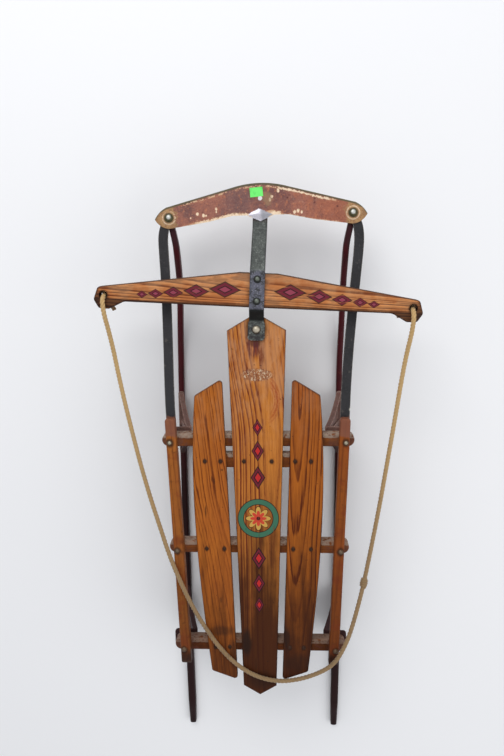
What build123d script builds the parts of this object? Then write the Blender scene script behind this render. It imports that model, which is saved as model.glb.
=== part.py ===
from build123d import *
import math
import os

# A steerable runner sled: a slatted wooden deck on three cross benches, pressed knees on two steel
# runners, and a wooden steering bar whose strap swings the bumper and flexes the runner fronts.
# Millimetres. +X is the rider's right, +Y forward, +Z up, with the runners standing on Z 0.
# Names that end in _Y are places ahead of the steering bolt, so deck places are negative.

os.makedirs("parts", exist_ok=True)

PIVOT_Y = 288.0  # steering bolt, ahead of the middle of the sled
DECK_TOP_Z = 140.0
SIDES = (("left", -1), ("right", 1))

# Steering. The sled stands with it turned a little to the right, in degrees about the steering bolt.
STRAP_REST = -2.2
BAR_REST = -3.0  # the bar has settled a little askew on the strap
STRAP_REACH = 188.0  # steering bolt to the loose pin under the bumper
FRONT_SHIFT = -STRAP_REACH * math.sin(math.radians(STRAP_REST))  # how far the front stands over
FRONT_YAW = 0.9  # degrees that the bumper has turned about its pin, right end forward
FIT_GAP = 0.1  # round running fits and bolt holes
SLIDE_GAP = 0.3  # flat faces that slide past each other

# Deck boards
BOARD_T = 8.0
BOARD_EDGE_R = 2.0
PLANK_NOSE_Y = 26.0
PLANK_SHOULDER_Y = -2.0
PLANK_SHOULDER_HALF = 47.5
PLANK_TAIL_Y = -633.0
PLANK_TAIL_HALF = 29.0
PLANK_TIP_Y = -651.0
SLAT_NOSE = (57.0, -80.5)
SLAT_SHOULDER = (103.0, -109.0)
SLAT_WIDEST = (108.0, -195.0)
SLAT_WAIST = (101.5, -430.0)
SLAT_TAIL_OUTER = (84.5, -605.0)
SLAT_TAIL_INNER = (39.4, -622.0)
SLAT_CORNER_R = 5.0

# Cross benches: place, half length
BENCH_W = 22.0
BENCH_H = 22.0
BENCH_EDGE_R = 2.5
BENCHES = {
    "front": (-185.5, 160.0),
    "middle": (-375.0, 153.5),
    "rear": (-558.5, 149.5),
}
CLEAT_Y = -220.0
CLEAT_W = 25.0
CLEAT_H = 12.0
CLEAT_HALF = 101.0
CLEAT_CORNER_R = 6.0

# Side rails, straight and drawn in towards the rear
RAIL_W = 17.0
RAIL_H = 18.0
RAIL_EDGE_R = 3.0
RAIL_NOSE = 40.5  # reach ahead of the front bench
RAIL_FRONT_X = 143.3
RAIL_TAIL = 31.5  # reach behind the rear bench
RAIL_REAR_X = 128.0
RAIL_TAIL_TAPER = 26.0  # length of the drawn-down tail
RAIL_TAIL_H = 7.0
RAIL_CORNER_R = 5.0
RAIL_BOLT_OUT = 2.3  # bolts stand outside the rail's middle by this

# Runners: an upside-down channel with a rounded back, closed at the tail and under the bumper
RUNNER_X = 143.0
RUNNER_W = 10.0
RUNNER_H = 12.0
RUNNER_BACK_R = 3.5
RUNNER_WALL = 2.5
RUNNER_BACK_T = 3.5
RUNNER_TAIL_Y = -805.0
RUNNER_TAIL_W = 8.0
RUNNER_TAIL_TAPER = 40.0
RUNNER_TAIL_X = 140.0  # behind the rear knee it draws in to this
RUNNER_TAIL_IN_Y = -620.0
RUNNER_DRAW_IN = 4.8  # the front draws in by this between these two places
RUNNER_DRAW_YS = (-40.0, 125.0)
RUNNER_SPREAD_YS = (124.0, 184.0)  # and between these it spreads out to its bolt under the bumper
RUNNER_LIFT_Y = -90.0  # where the front starts to rise
RUNNER_TOP_Y = 150.0  # where it is level again under the bumper
RUNNER_TOP_R = 60.0  # the bend back to level
FRONT_END_Y = 188.0  # ends of runners and irons under the bumper

# Bumper
BUMPER_TOP_Z = 110.0
BUMPER_T = 2.5
BUMPER_BOLT_X = 146.8
BUMPER_BOLT_Y = 179.0
BUMPER_END_R = 17.0
BUMPER_LIP_H = 13.0
BUMPER_LIP_T = 2.5
BUMPER_APEX_Y = 229.0
BUMPER_CROWN_END = (46.0, 222.3)
BUMPER_SHOULDER = (150.0, 195.5)
BUMPER_TIP = (169.5, 177.0)
BUMPER_TIP_R = 40.0
BUMPER_HEEL_R = 28.0
BUMPER_REAR_BEND = (84.0, 171.0)
BUMPER_REAR_HALF = 45.0
LIP_TO_TIP = 0.85  # the lip fades out just before the tip
BUMPER_REAR_Y = 179.5
BOSS_R = 10.0
BOSS_H = 1.4
BEAK_HALF = 22.0
BEAK_Y = 170.0
BEAK_RIM = 0.8
BEAK_FRONT_Y = 197.0
BEAK_H = 4.0
BEAK_TAPER = 65.0
CORD_HOLE_Y = 205.5
CORD_HOLE_R = 3.5

# Side irons, flat bars from the bumper back to the side rails
IRON_W = 15.5
IRON_T = 3.5
IRON_BEND = (158.8, 148.0)  # where it leaves the bumper's end and turns back
IRON_SAG = 2.0  # it bows in by this half way to the rail
IRON_BEND_IN = 1.5  # the bend's middle is drawn in by this
IRON_TAIL = 13.5  # reach behind the front bench
IRON_DIP_Y = 128.0  # it slopes between this and IRON_RISE_Y
IRON_RISE_Y = -128.0
IRON_BEND_R = 60.0
FLEX_START_Y = -127.0  # runners and irons bend between here, ahead of the front knee, and FLEX_END_Y
FLEX_END_Y = 155.0

# Pressed knees: a web with turned-out edges and a bead up its middle
KNEE_T = 2.5
KNEE_LIP = 8.5
KNEE_TOP_IN = 29.0  # lean of the web towards the middle
KNEE_FLANGE_OUT = 40.0
KNEE_FLANGE_R = 6.0
KNEE_FOOT_R = 4.0
KNEE_FOOT_SPARE = 3.0  # foot ahead of and behind the turned edges
KNEE_BEAD_HALF = 4.5
KNEE_BEAD_D = 3.0
KNEE_WAIST = 7.0  # hollow of the slanted sides
KNEES = {  # half length at the foot, half length under the bench, rivets through the foot
    "front": (58.0, 17.0, (-42.0, 42.0)),
    "rear": (50.0, 16.0, (-35.0, 35.0)),
}

# Steering bar and strap, drawn unturned
BAR_T = 19.0
BAR_Z = 138.0
BAR_EDGE_R = 3.0
BAR_FRONT_Y = 90.0
BAR_REAR_Y = 36.0
BAR_HALF = 259.0
BAR_CROWN_HALF = 30.0
BAR_SHOULDER = (BAR_HALF - 6.5, 58.5)
BAR_TIP = (BAR_HALF, 38.0)
BAR_HOOK_Y = 24.0
BAR_HOOK_OUT_X = BAR_HALF - 9.0
BAR_HOOK_IN_X = BAR_HALF - 25.0
BAR_NECK = (BAR_HALF - 48.0, 36.5)
BAR_CORNER_R = 7.0
BAR_NECK_R = 18.0
ROPE_HOLE = (BAR_HALF - 16.0, 46.0)
ROPE_HOLE_GAP = 2.2
STRAP_W = 23.5
STRAP_T = 3.0
PAD_W = 27.0
PAD_REAR_Y = -17.5
PAD_FRONT_Y = 14.0
PAD_CORNER_R = 5.0
STRAP_STEP_Y = 33.0
STRAP_DROP_Y = 94.0
STRAP_LEVEL_Y = 158.0
STRAP_PAST_PIN = 11.5
STRAP_BEND_R = 6.0
BAR_BOLT_YS = (46.5, 80.5)
PIN_R = 4.0
PIN_HEAD_R = 8.0
PIN_SLOT_SPARE = 3.0  # the loose pin's fore and aft drift

# Fasteners
BOLT_R = 2.5
BOLT_HEAD_R = 6.0
BOLT_HEAD_H = 3.5
RAIL_HEAD_R = 4.9
RAIL_HEAD_H = 3.0
NUT_R = 5.2
NUT_H = 3.5
BUMPER_BOLT_R = 3.0
BUMPER_HEAD_R = 6.6
PIVOT_BOLT_R = 3.9
PIVOT_HEAD_R = 7.0
PIVOT_HEAD_H = 4.0
RIVET_R = 1.8
RIVET_HEAD_R = 3.2
RIVET_HEAD_H = 1.4
KNEE_RIVET_HEAD_R = 2.9
KNEE_RIVET_HEAD_H = 1.6
KNEE_RIVET_X = RUNNER_X + 0.6  # clear of the web's foot
RIVET_XS = {  # across the deck, on each side
    "front": (23.0, 62.0, 88.0),
    "middle": (58.5, 88.5),
    "rear": (52.5, 77.0),
}

# Tow rope: one length from hole to hole, lying back over the deck
ROPE_R = 4.5
KNOT_R = 8.0
ROPE_POINTS = (  # across, ahead of the steering bolt, height
    (-240.3, 58.7, 131.0), (-240.3, 58.7, 166.0), (-239.3, 30.0, 164.0), (-236.5, 4.0, 151.0),
    (-233.5, -33.0, 135.0), (-230.0, -77.0, 122.5), (-223.0, -127.0, 115.5), (-213.0, -180.0, 113.5),
    (-200.5, -235.0, 117.0), (-184.5, -289.0, 127.0), (-166.5, -338.0, 141.5), (-150.5, -382.0, 154.0),
    (-134.0, -424.0, 158.5), (-117.0, -469.0, 154.0), (-97.0, -513.0, 147.0), (-74.0, -552.0, 145.0),
    (-45.0, -586.0, 145.2), (-10.0, -611.0, 144.9), (31.0, -621.5, 145.1), (70.0, -616.0, 145.2),
    (103.0, -601.0, 148.5), (127.0, -579.0, 157.5), (142.0, -552.0, 159.5), (155.0, -524.0, 153.0),
    (167.0, -489.0, 140.5), (178.5, -448.0, 129.5), (188.5, -401.0, 121.5), (198.0, -350.0, 117.0),
    (207.0, -297.0, 114.5), (215.0, -242.0, 114.5), (222.5, -188.0, 116.5), (229.0, -136.0, 120.5),
    (234.5, -86.0, 127.0), (239.0, -41.0, 140.5), (243.6, 1.0, 162.8),
    (245.1, 33.2, 166.5), (245.1, 33.2, 131.0),
)

DECK_UNDER_Z = DECK_TOP_Z - BOARD_T
BENCH_UNDER_Z = DECK_UNDER_Z - BENCH_H
RAIL_TOP_Z = DECK_UNDER_Z + RAIL_H
RAIL_FRONT_Y = BENCHES["front"][0] + RAIL_NOSE
RAIL_REAR_Y = BENCHES["rear"][0] - RAIL_TAIL
IRON_REAR_Y = BENCHES["front"][0] - IRON_TAIL
STRAP_END_Y = STRAP_REACH + STRAP_PAST_PIN
BUMPER_UNDER_Z = BUMPER_TOP_Z - BUMPER_T
IRON_FRONT_Z = BUMPER_UNDER_Z - IRON_T  # underside of the iron below the bumper
TAB_TOP_Z = IRON_FRONT_Z
STRAP_FRONT_Z = BUMPER_UNDER_Z - SLIDE_GAP - STRAP_T
BAR_TOP_Z = BAR_Z + BAR_T
CROWN_DROP = BUMPER_APEX_Y - BUMPER_CROWN_END[1]
CROWN_R = (BUMPER_CROWN_END[0]**2 + CROWN_DROP**2) / (2 * CROWN_DROP)  # level at the apex
PIVOT = (0.0, PIVOT_Y, 0.0)


def ease(value, start, end):
    """0 before start, 1 after end, and a smooth S between, as a flexed bar takes."""
    t = min(max((value - start) / (end - start), 0.0), 1.0)
    return t * t * (3.0 - 2.0 * t)


def bow_x(y):
    """Sideways flex of runners and irons at a place ahead of the steering bolt."""
    return FRONT_SHIFT * ease(y, FLEX_START_Y, FLEX_END_Y)


def rail_x(y):
    """Middle of the right side rail at a place along it."""
    return RAIL_REAR_X + (RAIL_FRONT_X - RAIL_REAR_X) * (y - RAIL_REAR_Y) / (RAIL_FRONT_Y - RAIL_REAR_Y)


def rail_bolt_x(y):
    """Middle of a right rail bolt at a place along the rail."""
    return rail_x(y) + RAIL_BOLT_OUT


def front_place(x, y):
    """Where a place on the squarely drawn front stands when the front is turned and shifted."""
    yaw = math.radians(FRONT_YAW)
    ahead = y - STRAP_REACH
    return (
        FRONT_SHIFT + x * math.cos(yaw) - ahead * math.sin(yaw),
        STRAP_REACH + x * math.sin(yaw) + ahead * math.cos(yaw),
    )


def deck_plane(z):
    """Level drawing plane at height z whose origin is over the steering bolt."""
    return Plane(origin=(0, PIVOT_Y, z))


def side_plane(x=0.0):
    """Upright drawing plane seen from the right: across is forward, up is up."""
    return Plane(origin=(x, PIVOT_Y, 0), x_dir=(0, 1, 0), z_dir=(1, 0, 0))


def turned(shape, angle):
    """The shape turned about the steering bolt into its standing place."""
    return shape.rotate(Axis((0, PIVOT_Y, 0), (0, 0, 1)), angle)


def save(part, node):
    part.label = node
    export_step(part, f"parts/{node}.step")


def dome_bolt(radius, head_radius, head_height, top, bottom):
    """A round-head bolt on the Z axis, from its head's seat at top to its nut's seat at bottom."""
    with BuildPart() as bolt:
        with BuildSketch(Plane.XZ):
            with BuildLine():
                shank = Polyline(
                    (0, top + head_height), (0, bottom - NUT_H), (NUT_R, bottom - NUT_H),
                    (NUT_R, bottom), (radius, bottom), (radius, top), (head_radius, top),
                )
                RadiusArc(shank @ 1, shank @ 0, -(head_radius**2 + head_height**2) / (2 * head_height))
            make_face()
        revolve(axis=Axis.Z)
    return bolt.part


# Centre plank
with BuildPart() as centre_plank:
    with BuildSketch(deck_plane(DECK_UNDER_Z)):
        with BuildLine():
            Polyline(
                (0, PLANK_NOSE_Y), (PLANK_SHOULDER_HALF, PLANK_SHOULDER_Y),
                (PLANK_TAIL_HALF, PLANK_TAIL_Y), (0, PLANK_TIP_Y),
            )
            mirror(about=Plane.YZ)
        make_face()
    extrude(amount=BOARD_T)
    fillet(centre_plank.faces().sort_by(Axis.Z)[-1].edges(), radius=BOARD_EDGE_R)
    with Locations((0, PIVOT_Y, DECK_TOP_Z)):
        Hole(radius=PIVOT_BOLT_R + FIT_GAP, depth=BOARD_T)
    with Locations(*[
        (side * x, PIVOT_Y + CLEAT_Y, DECK_TOP_Z) for _, side in SIDES for x in RIVET_XS["front"][:1]
    ]):
        Hole(radius=RIVET_R, depth=BOARD_T)
save(centre_plank.part, "centre_plank")

# Side slats
for name, side in SIDES:
    with BuildPart() as side_slat:
        with BuildSketch(deck_plane(DECK_UNDER_Z)) as slat_outline:
            with BuildLine():
                nose, shoulder, widest, waist, tail_outer, tail_inner = [(side * x, y) for x, y in (
                    SLAT_NOSE, SLAT_SHOULDER, SLAT_WIDEST, SLAT_WAIST, SLAT_TAIL_OUTER, SLAT_TAIL_INNER,
                )]
                Line(nose, shoulder)
                Spline(shoulder, widest, waist, tail_outer)
                Polyline(tail_outer, tail_inner, nose)
            make_face()
            fillet(slat_outline.vertices(), radius=SLAT_CORNER_R)
        extrude(amount=BOARD_T)
        fillet(side_slat.faces().sort_by(Axis.Z)[-1].edges(), radius=BOARD_EDGE_R)
        holes = [(x, CLEAT_Y) for x in RIVET_XS["front"][1:]]
        holes += [(x, BENCHES[row][0]) for row in ("middle", "rear") for x in RIVET_XS[row]]
        with Locations(*[(side * x, PIVOT_Y + y, DECK_TOP_Z) for x, y in holes]):
            Hole(radius=RIVET_R, depth=BOARD_T)
    save(side_slat.part, f"side_slat_{name}")

# Cross benches and the short cleat behind the first
for row, (bench_y, bench_half) in BENCHES.items():
    with BuildPart() as bench:
        with BuildSketch(deck_plane(BENCH_UNDER_Z)):
            with Locations((0, bench_y)):
                SlotOverall(2 * bench_half, BENCH_W)
        extrude(amount=BENCH_H)
        fillet(bench.faces().filter_by(Axis.Z).edges(), radius=BENCH_EDGE_R)
        with Locations(*[
            (side * rail_bolt_x(bench_y), PIVOT_Y + bench_y, DECK_UNDER_Z) for _, side in SIDES
        ]):
            Hole(radius=BOLT_R + FIT_GAP, depth=BENCH_H)
        if row != "front":
            with Locations(*[
                (side * x, PIVOT_Y + bench_y, DECK_UNDER_Z) for _, side in SIDES for x in RIVET_XS[row]
            ]):
                Hole(radius=RIVET_R, depth=BENCH_H)
    save(bench.part, f"{row}_bench")

with BuildPart() as deck_cleat:
    with BuildSketch(deck_plane(DECK_UNDER_Z - CLEAT_H)):
        with Locations((0, CLEAT_Y)):
            RectangleRounded(2 * CLEAT_HALF, CLEAT_W, CLEAT_CORNER_R)
    extrude(amount=CLEAT_H)
    with Locations(*[
        (side * x, PIVOT_Y + CLEAT_Y, DECK_UNDER_Z) for _, side in SIDES for x in RIVET_XS["front"]
    ]):
        Hole(radius=RIVET_R, depth=CLEAT_H)
save(deck_cleat.part, "deck_cleat")

# Deck rivets, one set for each row
for row, xs in RIVET_XS.items():
    rivet_y = CLEAT_Y if row == "front" else BENCHES[row][0]
    rivet_end = CLEAT_H if row == "front" else BENCH_H
    with BuildPart() as rivets:
        with Locations(*[(side * x, PIVOT_Y + rivet_y, DECK_TOP_Z) for _, side in SIDES for x in xs]):
            Cylinder(RIVET_R, BOARD_T + rivet_end, align=(Align.CENTER, Align.CENTER, Align.MAX))
            Cone(RIVET_HEAD_R, RIVET_R, RIVET_HEAD_H, align=(Align.CENTER, Align.CENTER, Align.MIN))
    save(rivets.part, f"deck_rivets_{row}")

# Side rails, let in over the irons at the front and drawn down at the tail
for name, side in SIDES:
    with BuildPart() as side_rail:
        with BuildSketch(deck_plane(DECK_UNDER_Z)) as rail_outline:
            with BuildLine():
                Polyline(
                    (side * (RAIL_FRONT_X - RAIL_W / 2), RAIL_FRONT_Y),
                    (side * (RAIL_FRONT_X + RAIL_W / 2), RAIL_FRONT_Y),
                    (side * (RAIL_REAR_X + RAIL_W / 2), RAIL_REAR_Y),
                    (side * (RAIL_REAR_X - RAIL_W / 2), RAIL_REAR_Y),
                    close=True,
                )
            make_face()
            fillet(rail_outline.vertices(), radius=RAIL_CORNER_R)
        extrude(amount=RAIL_H)
        fillet(
            side_rail.faces().sort_by(Axis.Z)[-1].edges().sort_by(SortBy.LENGTH)[-2:],
            radius=RAIL_EDGE_R,
        )
        with BuildSketch(side_plane()):
            with BuildLine():
                taper_y = RAIL_REAR_Y + RAIL_TAIL_TAPER
                tail_z = DECK_UNDER_Z + RAIL_TAIL_H
                tail = Line((RAIL_REAR_Y - 1, tail_z), (RAIL_REAR_Y, tail_z))
                Spline(tail @ 1, (taper_y, RAIL_TOP_Z), tangents=((0.4, 1.0), (1.0, 0.0)))
                Polyline(
                    (taper_y, RAIL_TOP_Z), (taper_y, RAIL_TOP_Z + 1),
                    (RAIL_REAR_Y - 1, RAIL_TOP_Z + 1), tail @ 0,
                )
            make_face()
            with Locations(((IRON_REAR_Y + RAIL_FRONT_Y) / 2, DECK_UNDER_Z)):
                Rectangle(RAIL_FRONT_Y - IRON_REAR_Y, 2 * IRON_T)
        extrude(amount=RAIL_FRONT_X + RAIL_W, both=True, mode=Mode.SUBTRACT)
        with Locations(*[
            (side * rail_bolt_x(bench_y), PIVOT_Y + bench_y, RAIL_TOP_Z) for bench_y, _ in BENCHES.values()
        ]):
            Hole(radius=BOLT_R + FIT_GAP, depth=RAIL_H)
    save(side_rail.part, f"side_rail_{name}")

# Runners: a plan band with the sideways flex, cut by the side band with the front's rise
rise = TAB_TOP_Z - RUNNER_H
run = RUNNER_TOP_Y - RUNNER_LIFT_Y
lift_angle = 2.0 * math.degrees(math.atan2(rise, run))
lift_radius = run / math.sin(math.radians(lift_angle)) - RUNNER_TOP_R
front_stations = [FLEX_START_Y + n * (RUNNER_SPREAD_YS[1] - FLEX_START_Y) / 12 for n in range(13)]
groove_y = RUNNER_TAIL_Y + RUNNER_TAIL_TAPER


def runner_x(side, y):
    """Middle of a runner at a place along it."""
    behind = max(0.0, (RUNNER_TAIL_IN_Y - y) / (RUNNER_TAIL_IN_Y - RUNNER_TAIL_Y))
    inward = RUNNER_DRAW_IN * ease(y, *RUNNER_DRAW_YS) + (RUNNER_X - RUNNER_TAIL_X) * behind
    outward = (BUMPER_BOLT_X - RUNNER_X + RUNNER_DRAW_IN) * ease(y, *RUNNER_SPREAD_YS)
    return side * (RUNNER_X - inward + outward) + bow_x(y)


def runner_outline(side, half, tail_y, tail_half):
    """Plan of a runner, or of the groove under it, from a place near its tail to its front end."""
    tail_x = runner_x(side, tail_y)
    full_y = groove_y + RUNNER_W
    with BuildSketch(deck_plane(0)) as outline:
        with BuildLine():
            ends = []
            for edge in (-1, 1):
                Polyline(
                    (tail_x + edge * tail_half, tail_y), (runner_x(side, full_y) + edge * half, full_y),
                    (side * RUNNER_X + edge * half, RUNNER_TAIL_IN_Y),
                    (side * RUNNER_X + edge * half, FLEX_START_Y),
                )
                flexed = Spline(
                    *[(runner_x(side, y) + edge * half, y) for y in front_stations],
                    tangents=((0, 1), (0, 1)),
                )
                end_y = front_place(side * BUMPER_BOLT_X, FRONT_END_Y)[1]
                front = Line(flexed @ 1, ((flexed @ 1).X, end_y))
                ends.append(front @ 1)
            Line(ends[0], ends[1])
            Line((tail_x - tail_half, tail_y), (tail_x + tail_half, tail_y))
        make_face()
    return outline.sketch


def runner_profile(height, tail_y, below, front_y):
    """Side view of a runner or its groove: level, up in a long curve and level again."""
    with BuildSketch(side_plane()) as profile:
        with BuildLine():
            ground = Line((tail_y, -below), (RUNNER_LIFT_Y, -below))
            lift = JernArc(ground @ 1, (1, 0), lift_radius + RUNNER_H / 2 + below, lift_angle)
            level = JernArc(lift @ 1, lift % 1, RUNNER_TOP_R - RUNNER_H / 2 - below, -lift_angle)
            if front_y > RUNNER_TOP_Y:
                Line(level @ 1, (front_y, (level @ 1).Y))
            offset(amount=height + below, side=Side.LEFT)
        make_face()
    return profile.sketch


for name, side in SIDES:
    with BuildPart() as groove:
        extrude(runner_outline(side, RUNNER_W / 2 - RUNNER_WALL, groove_y, RUNNER_W / 2 - RUNNER_WALL),
                amount=BUMPER_TOP_Z, both=True)
        extrude(runner_profile(RUNNER_H - RUNNER_BACK_T, groove_y, RUNNER_WALL, RUNNER_TOP_Y),
                amount=RUNNER_X * 2, both=True, mode=Mode.INTERSECT)
    with BuildPart() as runner:
        extrude(runner_outline(side, RUNNER_W / 2, RUNNER_TAIL_Y, RUNNER_TAIL_W / 2), amount=BUMPER_TOP_Z)
        extrude(runner_profile(RUNNER_H, RUNNER_TAIL_Y, 0, FRONT_END_Y + IRON_W),
                amount=RUNNER_X * 2, both=True, mode=Mode.INTERSECT)
        backs = runner.faces().filter_by(lambda f: f.normal_at().Z > 0.5)
        fillet(backs.edges().filter_by(lambda e: e.length > RUNNER_W * 1.5), radius=RUNNER_BACK_R)
        add(groove.part, mode=Mode.SUBTRACT)
        bolt_x, bolt_y = front_place(side * BUMPER_BOLT_X, BUMPER_BOLT_Y)
        with Locations((bolt_x, PIVOT_Y + bolt_y, TAB_TOP_Z)):
            Hole(radius=BUMPER_BOLT_R + FIT_GAP, depth=RUNNER_H * 2)
        with Locations(*[
            (side * KNEE_RIVET_X, PIVOT_Y + BENCHES[row][0] + y, RUNNER_H)
            for row in KNEES for y in KNEES[row][2]
        ]):
            Hole(radius=RIVET_R, depth=RUNNER_BACK_T)
    save(runner.part, f"runner_{name}")

# Side irons
iron_stations = [RAIL_FRONT_Y + n * (IRON_DIP_Y - RAIL_FRONT_Y) / 7 for n in range(8)]


def iron_x(side, y):
    """Middle of a side iron: along the rail, then spreading to the bumper's end."""
    part_way = (y - RAIL_FRONT_Y) / (IRON_BEND[1] - RAIL_FRONT_Y)
    straight_x = RAIL_FRONT_X + (IRON_BEND[0] - RAIL_FRONT_X) * part_way
    swept_x = straight_x - IRON_SAG * math.sin(math.pi * part_way)
    return side * (rail_x(y) if y < RAIL_FRONT_Y else swept_x) + bow_x(y)


for name, side in SIDES:
    bolt_x, bolt_y = front_place(side * BUMPER_BOLT_X, BUMPER_BOLT_Y)
    with BuildPart() as side_iron:
        with BuildSketch(deck_plane(0)):
            with BuildLine():
                ends = []
                for edge in (-1, 1):
                    half = edge * IRON_W / 2
                    back = Line(
                        (iron_x(side, IRON_REAR_Y) + half, IRON_REAR_Y),
                        (iron_x(side, RAIL_FRONT_Y) + half, RAIL_FRONT_Y),
                    )
                    tip = (bolt_x + half, bolt_y)
                    iron_end = (tip[0], bolt_y + FRONT_END_Y - BUMPER_BOLT_Y)
                    swept = Spline(
                        *[(iron_x(side, y) + half, y) for y in iron_stations],
                        (iron_x(side, IRON_BEND[1]) + half - side * IRON_BEND_IN, IRON_BEND[1]), tip,
                    )
                    Line(swept @ 1, iron_end)
                    ends.append((back @ 0, iron_end))
                Line(ends[0][0], ends[1][0])
                Line(ends[0][1], ends[1][1])
            make_face()
        extrude(amount=DECK_TOP_Z)
        with BuildSketch(side_plane()):
            with BuildLine():
                FilletPolyline(
                    (IRON_REAR_Y, DECK_UNDER_Z), (IRON_RISE_Y, DECK_UNDER_Z),
                    (IRON_DIP_Y, IRON_FRONT_Z), (FRONT_END_Y + IRON_W, IRON_FRONT_Z), radius=IRON_BEND_R,
                )
                offset(amount=IRON_T, side=Side.LEFT)
            make_face()
        extrude(amount=RUNNER_X * 2, both=True, mode=Mode.INTERSECT)
        with Locations((bolt_x, PIVOT_Y + bolt_y, DECK_TOP_Z)):
            Hole(radius=BUMPER_BOLT_R + FIT_GAP, depth=DECK_TOP_Z)
        bench_y = BENCHES["front"][0]
        with Locations((side * rail_bolt_x(bench_y), PIVOT_Y + bench_y, DECK_TOP_Z)):
            Hole(radius=BOLT_R + FIT_GAP, depth=DECK_TOP_Z)
    save(side_iron.part, f"side_iron_{name}")

# Pressed knees: a foot on the runner, a leaning web with turned-out edges and a bead, and a flange
# under the bench
foot_top_z = RUNNER_H + KNEE_T
flange_under_z = BENCH_UNDER_Z - KNEE_T
web_foot_x = RUNNER_X - RUNNER_W / 2
web_head_x = web_foot_x + RUNNER_W / 2 - KNEE_TOP_IN - KNEE_T / 2


def web_place(z, foot, head):
    """A value that runs from foot, on top of the knee's foot, to head, under its flange, at height z."""
    return foot + (head - foot) * (z - foot_top_z) / (flange_under_z - foot_top_z)


def leaning_block(side, y, inset, depth, foot_half, head_half, over):
    """A block that leans with the web, its inner face set out from the web's by inset."""
    with BuildPart() as block:
        for z in (foot_top_z - over, flange_under_z + over):
            slab_x = web_place(z, web_foot_x, web_head_x) + inset + depth / 2
            with BuildSketch(Plane.XY.offset(z)):
                with Locations((side * slab_x, PIVOT_Y + y)):
                    Rectangle(depth, 2 * foot_half)
        loft()
        if head_half < foot_half:
            middle = ((foot_half + head_half) / 2 - KNEE_WAIST, (foot_top_z + flange_under_z) / 2)
            with BuildSketch(side_plane()):
                with BuildLine():
                    for end in (-1, 1):
                        foot_y, head_y = y + end * foot_half, y + end * head_half
                        Line((foot_y, foot_top_z - over), (foot_y, foot_top_z))
                        ThreePointArc(
                            (foot_y, foot_top_z), (y + end * middle[0], middle[1]), (head_y, flange_under_z)
                        )
                        Line((head_y, flange_under_z), (head_y, flange_under_z + over))
                    for half, z in ((foot_half, foot_top_z - over), (head_half, flange_under_z + over)):
                        Line((y - half, z), (y + half, z))
                make_face()
            extrude(amount=RUNNER_X * 2, both=True, mode=Mode.INTERSECT)
    return block.part


for row, (foot_half, top_half, rivet_ys) in KNEES.items():
    knee_y = PIVOT_Y + BENCHES[row][0]
    web_half = foot_half - KNEE_FOOT_SPARE
    pressings = (  # inset, depth, half length at the foot and at the head, overrun, mode
        (0, KNEE_LIP, web_half, top_half, KNEE_T / 2, Mode.ADD),
        (KNEE_T, KNEE_LIP, web_half - KNEE_T, top_half - KNEE_T, KNEE_T, Mode.SUBTRACT),
        (KNEE_T, KNEE_BEAD_D, KNEE_BEAD_HALF, KNEE_BEAD_HALF, KNEE_T / 2, Mode.ADD),
        (-KNEE_T, KNEE_BEAD_D + KNEE_T, KNEE_BEAD_HALF - KNEE_T, KNEE_BEAD_HALF - KNEE_T,
         KNEE_T, Mode.SUBTRACT),
    )
    for name, side in SIDES:
        with BuildPart() as knee:
            for inset, depth, low_half, high_half, over, mode in pressings:
                add(leaning_block(side, BENCHES[row][0], inset, depth, low_half, high_half, over), mode=mode)
            with BuildSketch(Plane.XY.offset(RUNNER_H)):
                with Locations((side * RUNNER_X, knee_y)):
                    RectangleRounded(RUNNER_W, 2 * foot_half, KNEE_FOOT_R)
            extrude(amount=KNEE_T)
            with BuildSketch(Plane.XY.offset(BENCH_UNDER_Z)):
                with Locations((side * (web_head_x + KNEE_FLANGE_OUT / 2), knee_y)):
                    RectangleRounded(KNEE_FLANGE_OUT, 2 * top_half, KNEE_FLANGE_R)
            extrude(amount=-KNEE_T)
            with Locations((side * rail_bolt_x(BENCHES[row][0]), knee_y, BENCH_UNDER_Z)):
                Hole(radius=BOLT_R + FIT_GAP, depth=KNEE_T)
            with Locations(*[(side * KNEE_RIVET_X, knee_y + y, foot_top_z) for y in rivet_ys]):
                Hole(radius=RIVET_R, depth=KNEE_T)
        save(knee.part, f"knee_{row}_{name}")

# Rivets through the knees' feet into the runners' backs
with BuildPart() as knee_rivet:
    with BuildSketch(Plane.XZ):
        with BuildLine():
            rim = foot_top_z
            rivet_shank = Polyline(
                (0, rim + KNEE_RIVET_HEAD_H), (0, RUNNER_H - RUNNER_BACK_T),
                (RIVET_R, RUNNER_H - RUNNER_BACK_T), (RIVET_R, rim), (KNEE_RIVET_HEAD_R, rim),
            )
            RadiusArc(
                rivet_shank @ 1, rivet_shank @ 0,
                -(KNEE_RIVET_HEAD_R**2 + KNEE_RIVET_HEAD_H**2) / (2 * KNEE_RIVET_HEAD_H),
            )
        make_face()
    revolve(axis=Axis.Z)
with BuildPart() as knee_rivets:
    with Locations(*[
        (side * KNEE_RIVET_X, PIVOT_Y + BENCHES[row][0] + y, 0)
        for _, side in SIDES for row in KNEES for y in KNEES[row][2]
    ]):
        add(knee_rivet.part)
save(knee_rivets.part, "knee_rivets")

# Rail bolts, down through rail and bench, and through the knee where there is one
rail_bolt = {
    row: dome_bolt(BOLT_R, RAIL_HEAD_R, RAIL_HEAD_H, RAIL_TOP_Z, BENCH_UNDER_Z - (KNEE_T if row in KNEES else 0))
    for row in BENCHES
}
with BuildPart() as rail_bolts:
    for row, (bench_y, _) in BENCHES.items():
        with Locations(*[(side * rail_bolt_x(bench_y), PIVOT_Y + bench_y, 0) for _, side in SIDES]):
            add(rail_bolt[row])
save(rail_bolts.part, "rail_bolts")

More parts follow.
